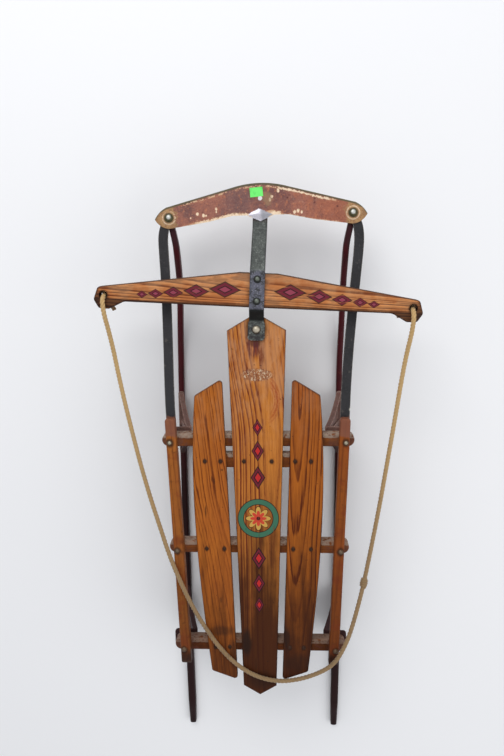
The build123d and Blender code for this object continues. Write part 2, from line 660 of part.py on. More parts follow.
# Bumper: a stamped plate with a turned-down front lip, raised end bosses and a beak over the strap
with BuildPart() as bumper:
    with BuildSketch(deck_plane(BUMPER_UNDER_Z)) as bumper_outline:
        with BuildLine():
            crown = RadiusArc((0, BUMPER_APEX_Y), BUMPER_CROWN_END, CROWN_R)
            arm = Line(crown @ 1, BUMPER_SHOULDER)
            tip_round = RadiusArc(arm @ 1, BUMPER_TIP, BUMPER_TIP_R)
            heel = (BUMPER_BOLT_X, BUMPER_BOLT_Y - BUMPER_END_R)
            RadiusArc(tip_round @ 1, heel, BUMPER_HEEL_R)
            Polyline(
                heel, BUMPER_REAR_BEND, (BUMPER_REAR_HALF, BUMPER_REAR_Y), (BEAK_HALF, BUMPER_REAR_Y),
                (0, BEAK_Y),
            )
            mirror(about=Plane.YZ)
        make_face()
        rear_bends = bumper_outline.vertices().filter_by(
            lambda v: BUMPER_REAR_HALF - 1 < abs(v.X) < BUMPER_REAR_BEND[0] + 1 and v.Y < BUMPER_REAR_Y + 1
        )
        fillet(rear_bends, radius=BUMPER_TIP_R)
    extrude(amount=BUMPER_T)
    with BuildSketch(deck_plane(BUMPER_UNDER_Z)):
        with BuildLine():
            crown = RadiusArc((0, BUMPER_APEX_Y), BUMPER_CROWN_END, CROWN_R)
            arm = Line(crown @ 1, BUMPER_SHOULDER)
            RadiusArc(arm @ 1, tip_round @ LIP_TO_TIP, BUMPER_TIP_R)
            offset(amount=BUMPER_LIP_T, side=Side.RIGHT)
        make_face()
        mirror(about=Plane.YZ)
    extrude(amount=-BUMPER_LIP_H)
    with Locations(*[(side * BUMPER_BOLT_X, PIVOT_Y + BUMPER_BOLT_Y, BUMPER_TOP_Z) for _, side in SIDES]):
        Cylinder(BOSS_R, BOSS_H, align=(Align.CENTER, Align.CENTER, Align.MIN))
    with BuildSketch(deck_plane(BUMPER_TOP_Z)):
        with BuildLine():
            Polyline((0, BEAK_Y + BEAK_RIM), (BEAK_HALF - 2 * BEAK_RIM, BUMPER_REAR_Y), (0, BEAK_FRONT_Y))
            mirror(about=Plane.YZ)
        make_face()
    extrude(amount=BEAK_H, taper=BEAK_TAPER)
    with Locations(*[
        (side * BUMPER_BOLT_X, PIVOT_Y + BUMPER_BOLT_Y, BUMPER_TOP_Z + BOSS_H) for _, side in SIDES
    ]):
        Hole(radius=BUMPER_BOLT_R + FIT_GAP, depth=BUMPER_T + BOSS_H)
    with Locations((0, PIVOT_Y + CORD_HOLE_Y, BUMPER_TOP_Z)):
        Hole(radius=CORD_HOLE_R, depth=BUMPER_T)
yawed_bumper = bumper.part.rotate(Axis((0, PIVOT_Y + STRAP_REACH, 0), (0, 0, 1)), FRONT_YAW)
save(yawed_bumper.moved(Location((FRONT_SHIFT, 0, 0))), "bumper")

bumper_bolt = dome_bolt(
    BUMPER_BOLT_R, BUMPER_HEAD_R, BOLT_HEAD_H, BUMPER_TOP_Z + BOSS_H, TAB_TOP_Z - RUNNER_H
)
for name, side in SIDES:
    bolt_x, bolt_y = front_place(side * BUMPER_BOLT_X, BUMPER_BOLT_Y)
    save(bumper_bolt.moved(Location((bolt_x, PIVOT_Y + bolt_y, 0))), f"bumper_bolt_{name}")

# Loose pin that hangs from the bumper through the strap's slot
with BuildPart() as strap_pin:
    with Locations((FRONT_SHIFT, PIVOT_Y + STRAP_REACH, BUMPER_UNDER_Z)):
        Cylinder(PIN_R, SLIDE_GAP * 2 + STRAP_T, align=(Align.CENTER, Align.CENTER, Align.MAX))
    with Locations((FRONT_SHIFT, PIVOT_Y + STRAP_REACH, STRAP_FRONT_Z - SLIDE_GAP)):
        Cylinder(PIN_HEAD_R, STRAP_T, align=(Align.CENTER, Align.CENTER, Align.MAX))
save(strap_pin.part, "strap_pin")

# Steering strap
with BuildPart() as steering_strap:
    with BuildSketch(side_plane()):
        with BuildLine():
            FilletPolyline(
                (PAD_REAR_Y, DECK_TOP_Z), (PAD_FRONT_Y, DECK_TOP_Z), (STRAP_STEP_Y, BAR_TOP_Z),
                (STRAP_DROP_Y, BAR_TOP_Z), (STRAP_LEVEL_Y, STRAP_FRONT_Z), (STRAP_END_Y, STRAP_FRONT_Z),
                radius=STRAP_BEND_R,
            )
            offset(amount=STRAP_T, side=Side.LEFT)
        make_face()
    extrude(amount=PAD_W, both=True)
    with BuildSketch(deck_plane(0)):
        with Locations((0, (PAD_REAR_Y + PAD_FRONT_Y) / 2)):
            RectangleRounded(PAD_W, PAD_FRONT_Y - PAD_REAR_Y, PAD_CORNER_R)
        with Locations((0, STRAP_END_Y - STRAP_W / 2)):
            Circle(STRAP_W / 2)
        with Locations((0, (STRAP_END_Y - STRAP_W / 2) / 2)):
            Rectangle(STRAP_W, STRAP_END_Y - STRAP_W / 2)
    extrude(amount=DECK_TOP_Z * 2, mode=Mode.INTERSECT)
    with Locations((0, PIVOT_Y, DECK_TOP_Z + STRAP_T)):
        Hole(radius=PIVOT_BOLT_R + FIT_GAP, depth=STRAP_T)
    with Locations(*[(0, PIVOT_Y + y, BAR_TOP_Z + STRAP_T) for y in BAR_BOLT_YS]):
        Hole(radius=BOLT_R + FIT_GAP, depth=STRAP_T)
    with BuildSketch(deck_plane(STRAP_FRONT_Z)):
        with Locations((0, STRAP_REACH)):
            SlotOverall(2 * (PIN_R + PIN_SLOT_SPARE), 2 * (PIN_R + SLIDE_GAP), rotation=90)
    extrude(amount=STRAP_T, mode=Mode.SUBTRACT)
save(turned(steering_strap.part, STRAP_REST), "steering_strap")

# Steering bar
with BuildPart() as steering_bar:
    with BuildSketch(deck_plane(BAR_Z)) as bar_outline:
        with BuildLine():
            Polyline(
                (0, BAR_FRONT_Y), (BAR_CROWN_HALF, BAR_FRONT_Y), BAR_SHOULDER, BAR_TIP,
                (BAR_HOOK_OUT_X, BAR_HOOK_Y), (BAR_HOOK_IN_X, BAR_HOOK_Y), BAR_NECK, (0, BAR_REAR_Y),
            )
            mirror(about=Plane.YZ)
        make_face()
        corners = bar_outline.vertices().filter_by(lambda v: abs(v.X) > BAR_CROWN_HALF + 1)
        fillet(corners.filter_by(lambda v: abs(v.X) > BAR_NECK[0] + 1), radius=BAR_CORNER_R)
        necks = bar_outline.vertices().filter_by(lambda v: abs(abs(v.X) - BAR_NECK[0]) < 1)
        fillet(necks, radius=BAR_NECK_R)
    extrude(amount=BAR_T)
    fillet(steering_bar.faces().filter_by(Axis.Z).edges(), radius=BAR_EDGE_R)
    with Locations(*[(side * ROPE_HOLE[0], PIVOT_Y + ROPE_HOLE[1], BAR_TOP_Z) for _, side in SIDES]):
        Hole(radius=ROPE_R + ROPE_HOLE_GAP, depth=BAR_T)
    askew = math.radians(STRAP_REST - BAR_REST)
    with Locations(*[
        (-y * math.sin(askew), PIVOT_Y + y * math.cos(askew), BAR_TOP_Z) for y in BAR_BOLT_YS
    ]):
        Hole(radius=BOLT_R + FIT_GAP, depth=BAR_T)
save(turned(steering_bar.part, BAR_REST), "steering_bar")

bar_bolt = dome_bolt(BOLT_R, BOLT_HEAD_R, BOLT_HEAD_H, BAR_TOP_Z + STRAP_T, BAR_Z)
with BuildPart() as bar_bolts:
    with Locations(*[(0, PIVOT_Y + y, 0) for y in BAR_BOLT_YS]):
        add(bar_bolt)
save(turned(bar_bolts.part, STRAP_REST), "steering_bar_bolts")

# Steering bolt through the strap's pad and the plank's nose
pivot_bolt = dome_bolt(PIVOT_BOLT_R, PIVOT_HEAD_R, PIVOT_HEAD_H, DECK_TOP_Z + STRAP_T, DECK_UNDER_Z)
save(pivot_bolt.moved(Location(PIVOT)), "pivot_bolt")

# Tow rope
route = [Vector(x, PIVOT_Y + y, z) for x, y, z in ROPE_POINTS]
radii = []
for before, here, after in zip(route, route[1:], route[2:]):
    turn = math.radians((here - before).get_angle(after - here))
    radii.append(0.45 * min((here - before).length, (after - here).length) / math.tan(turn / 2))
print("rope bend radii", [round(r) for r in radii])
with BuildPart() as tow_rope:
    with BuildLine() as rope_path:
        FilletPolyline(*route, radius=radii)
    with BuildSketch(Plane(origin=route[0], z_dir=route[1] - route[0])):
        Circle(ROPE_R)
    sweep()
rope_length = sum(edge.length for edge in rope_path.edges())
print("rope length", round(rope_length), "volume ratio",
      round(tow_rope.part.volume / (math.pi * ROPE_R**2 * rope_length), 4))
save(tow_rope.part, "tow_rope")

for name, side in SIDES:
    with BuildPart() as rope_knot:
        end = route[0] if side < 0 else route[-1]
        with Locations((end.X, end.Y, BAR_Z - KNOT_R)):
            Sphere(KNOT_R)
        with Locations((end.X, end.Y, end.Z)):
            Cylinder(ROPE_R, KNOT_R * 2, align=(Align.CENTER, Align.CENTER, Align.MIN), mode=Mode.SUBTRACT)
    save(rope_knot.part, f"rope_knot_{name}")
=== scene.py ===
"""Dresses the runner sled: worn varnished boards, chipped enamel on the steel, and a laid tow rope."""

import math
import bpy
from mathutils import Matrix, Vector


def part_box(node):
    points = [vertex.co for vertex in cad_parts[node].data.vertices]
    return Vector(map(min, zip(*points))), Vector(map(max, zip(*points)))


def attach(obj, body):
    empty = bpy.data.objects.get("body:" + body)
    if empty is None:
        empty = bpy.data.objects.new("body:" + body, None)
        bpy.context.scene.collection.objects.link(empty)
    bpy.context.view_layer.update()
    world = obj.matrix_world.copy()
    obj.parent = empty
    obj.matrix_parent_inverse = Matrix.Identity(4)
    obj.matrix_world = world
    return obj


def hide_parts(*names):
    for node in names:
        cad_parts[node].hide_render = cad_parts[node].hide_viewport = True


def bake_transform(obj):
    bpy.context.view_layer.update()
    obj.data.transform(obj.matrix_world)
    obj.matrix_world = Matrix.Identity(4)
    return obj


bl_info = {
    "name": "Runner Sled",
    "version": (1, 0, 0),
    "blender": (4, 5, 0),
    "location": "View3D > Sidebar > Sled",
    "description": "Finishes a steerable runner sled and lays its tow rope",
    "category": "Object",
}

import bmesh
import bpy
from bpy.props import FloatProperty, FloatVectorProperty, IntProperty, PointerProperty
from mathutils import Matrix, Vector

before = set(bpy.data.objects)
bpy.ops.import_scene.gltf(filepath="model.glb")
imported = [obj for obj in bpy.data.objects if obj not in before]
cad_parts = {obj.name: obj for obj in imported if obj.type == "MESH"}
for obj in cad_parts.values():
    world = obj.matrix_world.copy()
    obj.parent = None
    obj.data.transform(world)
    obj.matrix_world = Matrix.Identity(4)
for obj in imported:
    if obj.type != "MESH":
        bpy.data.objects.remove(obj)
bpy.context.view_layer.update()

PIVOT = Vector((0.0, 0.288, 0.0))  # steering bolt
STRAP_REST, BAR_REST = math.radians(-2.2), math.radians(-3.0)
STRAP_REACH = 0.188
FRONT_SHIFT = -STRAP_REACH * math.sin(STRAP_REST)  # the bumper stands over by this
FRONT_YAW = math.radians(0.9)
BENCH_ROWS = (0.1025, -0.087, -0.2705)
RAIL_BOLTS = (0.1442, 0.1377, 0.1314)  # how far out they stand at each bench
WRAP_Y = -0.152  # where the rope's right run has a short wrap
WRAP_TURNS, WRAP_LENGTH, WRAP_CORD = 4, 0.0150, 0.0040
KNOT_Z = 0.1295
TAIL_START, TAIL_END, TAIL_WIDER = -0.300, -0.335, 1.45  # the runners get wider between these
RUNNER_X = 0.143
DRAW_START, DRAW_SLOPE = -0.332, 0.003 / 0.185  # behind this the runners draw in
CAMERA_PLACE = (0.0432, 0.4236, 1.2568)
CAMERA_TURN = (-10.894, 2.486, -0.686)  # degrees
ROPE_POINTS = (  # across, ahead of the steering bolt, height, in millimetres
    (-240.3, 58.7, 131.0), (-240.3, 58.7, 166.0), (-239.3, 30.0, 164.0), (-236.5, 4.0, 151.0),
    (-233.5, -33.0, 135.0), (-230.0, -77.0, 122.5), (-223.0, -127.0, 115.5), (-213.0, -180.0, 113.5),
    (-200.5, -235.0, 117.0), (-184.5, -289.0, 127.0), (-166.5, -338.0, 141.5), (-150.5, -382.0, 154.0),
    (-134.0, -424.0, 158.5), (-117.0, -469.0, 154.0), (-97.0, -513.0, 147.0), (-74.0, -552.0, 145.0),
    (-45.0, -586.0, 145.2), (-10.0, -611.0, 144.9), (31.0, -621.5, 145.1), (70.0, -616.0, 145.2),
    (103.0, -601.0, 148.5), (127.0, -579.0, 157.5), (142.0, -552.0, 159.5), (155.0, -524.0, 153.0),
    (167.0, -489.0, 140.5), (178.5, -448.0, 129.5), (188.5, -401.0, 121.5), (198.0, -350.0, 117.0),
    (207.0, -297.0, 114.5), (215.0, -242.0, 114.5), (222.5, -188.0, 116.5), (229.0, -136.0, 120.5),
    (234.5, -86.0, 127.0), (239.0, -41.0, 140.5), (243.6, 1.0, 162.8),
    (245.1, 33.2, 166.5), (245.1, 33.2, 131.0),
)


def dye(*chart):
    """A paint-chart colour, 0 to 255 a channel, as the linear colour that a shader takes."""
    return tuple(((c / 255 + 0.055) / 1.055) ** 2.4 if c > 10 else c / 255 / 12.92 for c in chart)


def colour(name, description, *chart):
    return FloatVectorProperty(
        name=name, description=description, subtype="COLOR", size=3, min=0, max=1, default=dye(*chart)
    )


def length(name, description, metres):
    return FloatProperty(name=name, description=description, default=metres, min=0.0001, unit="LENGTH")


class SledWood(bpy.types.PropertyGroup):
    """Varnished boards and the steering bar."""

    early: colour("Early Wood", "Pale part of a year ring", 190, 118, 48)
    late: colour("Late Wood", "Dark part of a year ring", 92, 42, 16)
    red: colour("Heartwood", "Redder wood in blotches and on the left half of the plank", 150, 74, 34)
    golden: colour("Golden Wood", "Pale part of a year ring in the side slats", 176, 100, 34)
    worn: colour("Worn Varnish", "Paler wood where the varnish has gone dull", 202, 150, 108)
    # Colour of the darkening towards the tail, part age and part painted shade.
    aged_and_shaded: colour("Aged Varnish", "Darkened varnish towards the tail", 58, 26, 10)
    grime: colour("Grime", "Ground-in dirt and iron stain", 34, 22, 17)
    ring: length("Ring Spacing", "Distance between two year rings", 0.0048)


class SledPaint(bpy.types.PropertyGroup):
    """Enamel on the steel parts and the painted ornament."""

    runner: colour("Runner", "Dark red runner enamel", 72, 20, 26)
    iron: colour("Side Iron", "Black enamel", 46, 45, 47)
    knee: colour("Knee", "Dull brown red enamel", 112, 84, 76)
    bumper: colour("Bumper", "Rubbed brown red", 150, 94, 78)
    cream: colour("Undercoat", "Cream undercoat where the bumper is rubbed", 238, 214, 184)
    khaki: colour("Bumper Ends", "Khaki of the worn ends", 176, 138, 90)
    olive: colour("Bumper Edge", "Dark olive of the bare front edge", 84, 78, 54)
    strap: colour("Strap", "Grey of the strap", 88, 92, 88)
    rust: colour("Rust", "Rust at chips and scratches", 104, 58, 36)
    maroon: colour("Ornament Maroon", "Dark red of the lozenges", 112, 34, 50)
    scarlet: colour("Ornament Scarlet", "Bright red of the rosette", 192, 44, 44)
    green: colour("Ornament Green", "Green of the rosette's ring", 62, 112, 88)
    gold: colour("Ornament Gold", "Gold of the rosette's petals", 204, 160, 78)
    ink: colour("Ornament Outline", "Black brown outline", 34, 24, 24)


class SledRope(bpy.types.PropertyGroup):
    """The tow rope."""

    diameter: length("Diameter", "Across the whole rope", 0.0078)
    lay: length("Lay", "Length of one full twist", 0.019)
    strands: IntProperty(name="Strands", description="Strands twisted together", default=3, min=2, max=4)
    fibre: colour("Fibre", "Natural fibre", 198, 164, 112)
    shade: colour("Shaded Fibre", "Greyer rope towards its middle", 132, 108, 80)


class SledTag(bpy.types.PropertyGroup):
    """The blank tag stuck on the bumper."""

    width: length("Width", "Across the sled", 0.0205)
    height: length("Height", "Along the sled", 0.0145)
    paper: colour("Paper", "Bright green paper", 112, 240, 112)


class SledStage(bpy.types.PropertyGroup):
    """Floor, lamps and camera."""

    floor: colour("Floor", "Plain pale floor", 240, 240, 241)
    key: FloatProperty(
        name="Key Lamp", description="Power of the large lamp ahead", default=34.0, unit="POWER",
    )
    fill: FloatProperty(name="Sky", description="Strength of the even light all round", default=0.66)
    lens: FloatProperty(
        name="Lens", description="Focal length for a 36 mm frame", default=33.454, unit="CAMERA",
    )


class Field:
    """A socket of a finish's node tree. Sums and products of fields add the Math nodes for them."""

    def __init__(self, tree, socket=None):
        self.tree = tree
        self.socket = socket

    def node(self, kind, settings=None, inputs=None, output=0):
        """A new node in the same tree, as the field of one of its outputs."""
        made = self.tree.nodes.new("ShaderNode" + kind)
        for name, value in (settings or {}).items():
            if name != "stops":
                setattr(made, name, value)
                continue
            ramp = made.color_ramp
            for place, tone in value:
                stop = ramp.elements.new(place)
                stop.color = (*tone, 1) if isinstance(tone, tuple) else (tone, tone, tone, 1)
            ramp.elements.remove(ramp.elements[0])
            ramp.elements.remove(ramp.elements[-1])
        for name, value in (inputs or {}).items():
            if isinstance(value, Field):
                self.tree.links.new(value.socket, made.inputs[name])
            else:
                made.inputs[name].default_value = value
        return Field(self.tree, made.outputs[output])

    def also(self, output):
        """Another output of the same node."""
        return Field(self.tree, self.socket.node.outputs[output])

    def math(self, operation, *terms):
        return self.node("Math", {"operation": operation}, dict(enumerate((self, *terms))))

    def __add__(self, other):
        return self.math("ADD", other)

    def __sub__(self, other):
        return self.math("SUBTRACT", other)

    def __rsub__(self, other):
        return self.node("Math", {"operation": "SUBTRACT"}, {0: other, 1: self})

    def __mul__(self, other):
        return self.math("MULTIPLY", other)

    def __truediv__(self, other):
        return self.math("DIVIDE", other)

    def __pow__(self, other):
        return self.math("POWER", other)

    def __abs__(self):
        return self.math("ABSOLUTE")

    __radd__ = __add__
    __rmul__ = __mul__

    def least(self, other):
        return self.math("MINIMUM", other)

    def most(self, other):
        return self.math("MAXIMUM", other)

    def rise(self, start, end):
        """0 below start and 1 above end, with a soft step between. It falls where end is the lower."""
        return self.node(
            "MapRange", {"interpolation_type": "SMOOTHSTEP"},
            {"Value": self, "From Min": start, "From Max": end},
        )

    def noise(self, scale, detail=3.0, roughness=0.55):
        """Cloudy noise from this vector field, about 0 to 1."""
        values = {"Vector": self, "Scale": scale, "Detail": detail, "Roughness": roughness}
        return self.node("TexNoise", {}, values)

    def astray(self, *noises):
        """This value pushed up and down by noises, each given with how far it pushes."""
        pushed = self
        for noise, reach in zip(noises[::2], noises[1::2]):
            pushed = pushed + (noise - 0.5) * reach
        return pushed

    def mixed(self, other, share):
        """This value with a share of another in its place."""
        return self * (1 - share) + other * share

    def under(self, *coats):
        """This colour with others laid over it in turn, each given with its cover, 1 where it hides all."""
        painted = self
        for tone, cover in zip(coats[::2], coats[1::2]):
            tone = tone if isinstance(tone, Field) else (*tone, 1.0)
            painted = self.node("Mix", {"data_type": "RGBA"}, {0: cover, 6: painted, 7: tone}, output=2)
        return painted

    def scaled(self, by_x, by_y, by_z):
        """This vector field with each axis stretched."""
        return self.node("VectorMath", {"operation": "MULTIPLY"}, {0: self, 1: (by_x, by_y, by_z)})

    def turned(self, location, angle):
        """This place as seen from location, with the axes turned about Z by angle."""
        values = {"Vector": self, "Location": location, "Rotation": (0, 0, angle)}
        return self.node("Mapping", {"vector_type": "TEXTURE"}, values)

    def split(self):
        parts = self.node("SeparateXYZ", {}, {0: self})
        return parts, parts.also("Y"), parts.also("Z")


class Finish:
    """A material of one piece: its node tree, the place on the piece, and the shader that it ends in."""

    def __init__(self, name):
        self.material = bpy.data.materials.new(name)
        self.material.use_nodes = True
        tree = self.material.node_tree
        self.shader = tree.nodes["Principled BSDF"]
        self.paint = Field(tree)
        self.place = self.paint.node("TexCoord", output="Object")

    def tone(self, chart):
        """A plain colour as a field."""
        plain = (*chart, 1.0)
        return self.paint.node("Mix", {"data_type": "RGBA"}, {0: 0.0, 6: plain, 7: plain}, output=2)

    def noise(self, *settings):
        """Cloudy noise over the piece."""
        return self.place.noise(*settings)

    def edges(self, width):
        """1 on the piece's sharp edges, fading to 0 within width."""
        rounded = self.paint.node("Bevel", {"samples": 6}, {"Radius": width})
        true = self.paint.node("NewGeometry", output="Normal")
        settings = {"operation": "DOT_PRODUCT"}
        facing = rounded.node("VectorMath", settings, {0: rounded, 1: true}, output="Value")
        return (1.0 - facing).rise(0.01, 0.16)

    def sides(self):
        """1 where the surface turns down from the top, as on rounded edges and sides, and 0 on the flat; it
        is used to paint shade there.
        """
        return self.paint.node("NewGeometry", output="Normal").split()[2].rise(0.97, 0.7)

    def settle(self, base, roughness, metallic=0.0, height=None, depth=0.0003, specular=0.4, coat=0.0):
        """Joins the fields to the shader."""
        for name, value in (("Base Color", base), ("Roughness", roughness), ("Metallic", metallic)):
            if isinstance(value, Field):
                self.paint.tree.links.new(value.socket, self.shader.inputs[name])
            else:
                self.shader.inputs[name].default_value = value
        self.shader.inputs["Specular IOR Level"].default_value = specular
        self.shader.inputs["Coat Weight"].default_value = coat
        self.shader.inputs["Coat Roughness"].default_value = 0.25
        if height is not None:
            bump = height.node("Bump", {}, {"Height": height, "Distance": depth, "Strength": 0.8})
            self.paint.tree.links.new(bump.socket, self.shader.inputs["Normal"])
        return self.material


def wear(node, material):
    """Gives a node of the frame its finish."""
    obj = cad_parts[node]
    obj.data.materials.clear()
    obj.data.materials.append(material)


def ellipse(x, y, centre, half):
    """Distance from centre in units of the half axes: 1 on the ellipse."""
    across = (x - centre[0]) / half[0]
    along = (y - centre[1]) / half[1]
    return (across * across + along * along) ** 0.5


def lozenge(x, y, centre, half):
    """1 in the middle of a lozenge and 0 on its outline."""
    return 1.0 - abs(x - centre[0]) / half[0] - abs(y - centre[1]) / half[1]


def wood(finish, look, pith, lean, wander, lengthwise="Y", spacing=1.0, turn=None, calm=None, bold=0.6,
         early=None, late=None, bend=None):
    """Year rings, pores and fibres of one board: its colour, roughness and height, and x and y on it.

    pith is where the rings' middle lies beside and under the board, lean how fast it runs off sideways
    and down along it, and wander how far the rings stray. calm is where the grain hardly shows, bold how
    strong the dark lines are, and bend is where along the board the lines swing aside, and how far.
    """
    place = finish.place
    if turn:
        place = place.turned(PIVOT, turn)
    x, y, up = place.split()
    across, along = (x, y) if lengthwise == "Y" else (y, x)
    early, late = early or look.early, late or look.late

    def grain(squeeze, scale, detail=3.0, roughness=0.55):
        axes = (1, squeeze, 1) if lengthwise == "Y" else (squeeze, 1, 1)
        return place.scaled(*axes).noise(scale, detail, roughness)

    stray = grain(0.22, 11, 2)
    streak = grain(0.035, 130)
    vary = grain(0.03, 75, 2).rise(0.32, 0.62)
    fibre = grain(0.03, 640, 4, 0.6)
    dash = grain(0.05, 420, 3, 0.6)
    pore = grain(0.05, 1400, 2, 0.7)
    beside = (across - pith[0] - along * lean[0]).astray(stray, wander)
    if bend:
        beside = beside + along.rise(bend[0], bend[1]) * bend[2]
    below = up - pith[1] - along * lean[1]
    radius = (beside * beside + below * below) ** 0.5
    drift = radius.node("TexNoise", {"noise_dimensions": "1D"}, {"W": radius, "Scale": 60.0, "Detail": 2.0})
    rings = (radius.astray(drift, 0.012) / (look.ring * spacing)).astray(streak, 0.8)
    phase = rings.math("FRACT")
    year = rings.node("TexWhiteNoise", {"noise_dimensions": "1D"}, {"W": rings.math("FLOOR")})
    soft = phase.rise(0.0, 0.8) * phase.rise(1.0, 0.9)
    line = phase.rise(0.6, 0.78) * phase.rise(1.0, 0.88) * dash.rise(0.3, 0.5) * (0.35 + vary)
    line = line * (year * 0.9 + 0.4)
    grained = (soft * 0.35 + line) * bold
    if calm:
        grained = grained * (1.0 - calm * 0.75)
    blotch = place.scaled(1, 0.5, 1).noise(12, 3)
    pores = pore.rise(0.54, 0.68) * 0.5 * (0.5 + line)
    tint = finish.tone(early).under(
        look.red, blotch.rise(0.4, 0.7) * 0.45,
        late, grained.least(0.95),
        late, (fibre - 0.44).most(0.0) * 1.5,
        late, pores,
    )
    height = fibre * 0.5 - line * 0.5 - pores
    roughness = 0.36 + fibre * 0.18 + blotch * 0.14
    return tint, roughness, height, x, y


def stained(tint, grime, x, y, spots, noise):
    """Grime round each spot, a list of ellipses, broken up by noise."""
    cover = None
    for centre, half, strength in spots:
        mark = ellipse(x, y, centre, half).astray(noise, 1.1).rise(1.15, 0.45) * strength
        cover = mark if cover is None else cover.most(mark)
    return tint.under(grime, cover)


def deck_finish(node, look, spots, aged_and_shaded, dull=0.42, extra=None, **grain):
    """Finish of a deck board: wood, darker towards the tail, part age and part painted shade, with iron
    stains at the rivets.

    The tuple after the spots says where the darkening towards the tail starts and ends, and how far it goes;
    it is part age and part painted shade for light falling off towards the tail. dull is how worn the varnish
    is in front.
    """
    finish = Finish("worn_varnish_" + node)
    if "calm" in grain:
        grain["calm"] = grain["calm"](finish)
    tint, roughness, height, x, y = wood(finish, look, **grain)
    cloud = finish.noise(38, 4)
    mid = finish.place.scaled(1, 0.25, 1).noise(110, 4, 0.6)
    worn = y.astray(cloud, 0.2).rise(0.05, 0.27) * mid.rise(0.35, 0.6)
    start, end, strength = aged_and_shaded
    run = finish.place.scaled(1, 0.05, 1).noise(95, 3)
    dark = y.astray(cloud, 0.07, mid, 0.12, run, 0.36).rise(start, end)
    # Darker towards the tail: part age, part painted shade for the light falling off towards the tail.
    tint = tint.under(
        look.worn, worn * dull,
        look.aged_and_shaded, dark * strength,
        look.grime, mid.rise(0.58, 0.76) * y.rise(0.2, -0.3) * 0.4,
    )
    tint = stained(tint, look.grime, x, y, spots, cloud * 0.3 + mid * 0.7)
    if extra:
        tint = extra(finish, tint, x, y, cloud)
    speck = finish.noise(210, 2, 0.5).rise(0.725, 0.75)
    # Grime on the edges and painted shade on the sides that turn down from the top.
    rim_grime_and_shade = finish.edges(0.0045).most(finish.sides())
    tint = tint.under(
        look.grime, speck * 0.7,
        look.grime, rim_grime_and_shade * (cloud * 0.5 + 0.35),
    )
    wear(node, finish.settle(tint, roughness, height=height, specular=0.09, coat=0.04))


def plank_marks(finish, tint, x, y, cloud):
    """Painted lozenges above and below a rosette, rubbed thin along the grain, an old oval scuff, and the
    stain that the strap's foot has left."""
    paint = bpy.context.scene.sled_paint
    rub = finish.place.scaled(1, 0.1, 1).noise(260, 4, 0.65)
    kept = rub.mixed(cloud, 0.3).rise(0.30, 0.44) * 0.9
    middle = -0.032
    for step, half_x, half_y in ((0.072, 0.0125, 0.021), (0.118, 0.0105, 0.0185), (0.158, 0.0085, 0.015)):
        for way in (-1, 1):
            shape = lozenge(x, y, (0.0, middle + way * step), (half_x, half_y))
            tint = tint.under(
                paint.ink, shape.rise(0.0, 0.02) * kept,
                paint.maroon, shape.rise(0.16, 0.2) * kept,
                paint.ink, shape.rise(0.42, 0.46) * kept,
                paint.scarlet, shape.rise(0.58, 0.62) * kept,
            )
    away = y - middle
    radius = (x * x + away * away) ** 0.5
    petal = abs((x.math("ARCTAN2", away) * 4.0).math("COSINE"))
    ring = abs(radius - 0.0295)
    bloom = petal * 0.011 + 0.0115
    tint = tint.under(
        paint.ink, ring.rise(0.0058, 0.0052) * kept,
        paint.green, ring.rise(0.0044, 0.0038) * kept,
        paint.ink, (bloom - radius).rise(0.0, 0.0006) * kept,
        paint.gold, (bloom - radius).rise(0.0014, 0.002) * kept,
        paint.scarlet, (bloom * 0.62 - radius).rise(0.0, 0.0006) * kept,
        paint.ink, radius.rise(0.0036, 0.003) * kept,
    )
    flake = finish.place.scaled(1, 0.6, 1).noise(360, 4, 0.75)
    scuff = ellipse(x, y, (0.0, 0.214), (0.026, 0.0105)).astray(flake, 0.7).rise(1.1, 0.85)
    streaks = finish.place.scaled(1, 0.07, 1).noise(380, 3, 0.6)
    bled = ellipse(x, y, (-0.006, 0.264), (0.0115, 0.029)).astray(cloud, 0.6).rise(1.1, 0.5)
    figure = ellipse(x, y, (0.010, 0.172), (0.024, 0.036))
    band = figure.rise(0.70, 0.82) * figure.rise(1.22, 1.08) * x.rise(0.017, 0.026) * (cloud * 0.6 + 0.6)
    swirl = band * (figure * 5.0).astray(flake, 1.8).math("FRACT").rise(0.3, 0.8)
    return tint.under(
        dye(138, 92, 66), scuff * 0.55,
        dye(206, 186, 158), scuff * flake.rise(0.52, 0.58) * 0.85,
        dye(96, 52, 46), scuff * flake.rise(0.46, 0.40) * 0.75,
        dye(66, 32, 42), bled * streaks.rise(0.46, 0.56) * 0.9,
        dye(130, 64, 54), bled * 0.25,
        dye(150, 62, 30), swirl * 0.55 + band * 0.2,
    )


def bar_ornament(finish, tint, x, y, cloud):
    """Slim painted lozenges that get smaller towards the bar's ends."""
    paint = bpy.context.scene.sled_paint
    rub = finish.place.scaled(0.1, 1, 1).noise(300, 4, 0.65)
    kept = rub.mixed(cloud, 0.3).rise(0.32, 0.46) * 0.88
    out = abs(x)
    for place, half_x, half_y in ((0.051, 0.026, 0.0130), (0.096, 0.021, 0.0112), (0.132, 0.0165, 0.0094),
                                  (0.160, 0.0125, 0.0076), (0.1815, 0.0095, 0.0060)):
        line = 0.0625 - (place - 0.05) * 0.10
        shape = lozenge(out, y, (place, line), (half_x, half_y))
        tint = tint.under(
            paint.ink, shape.rise(0.0, 0.03) * kept,
            paint.maroon, shape.rise(0.14, 0.2) * kept,
            paint.ink, shape.rise(0.5, 0.54) * kept,
            dye(150, 66, 84), shape.rise(0.62, 0.68) * kept,
        )
    return tint


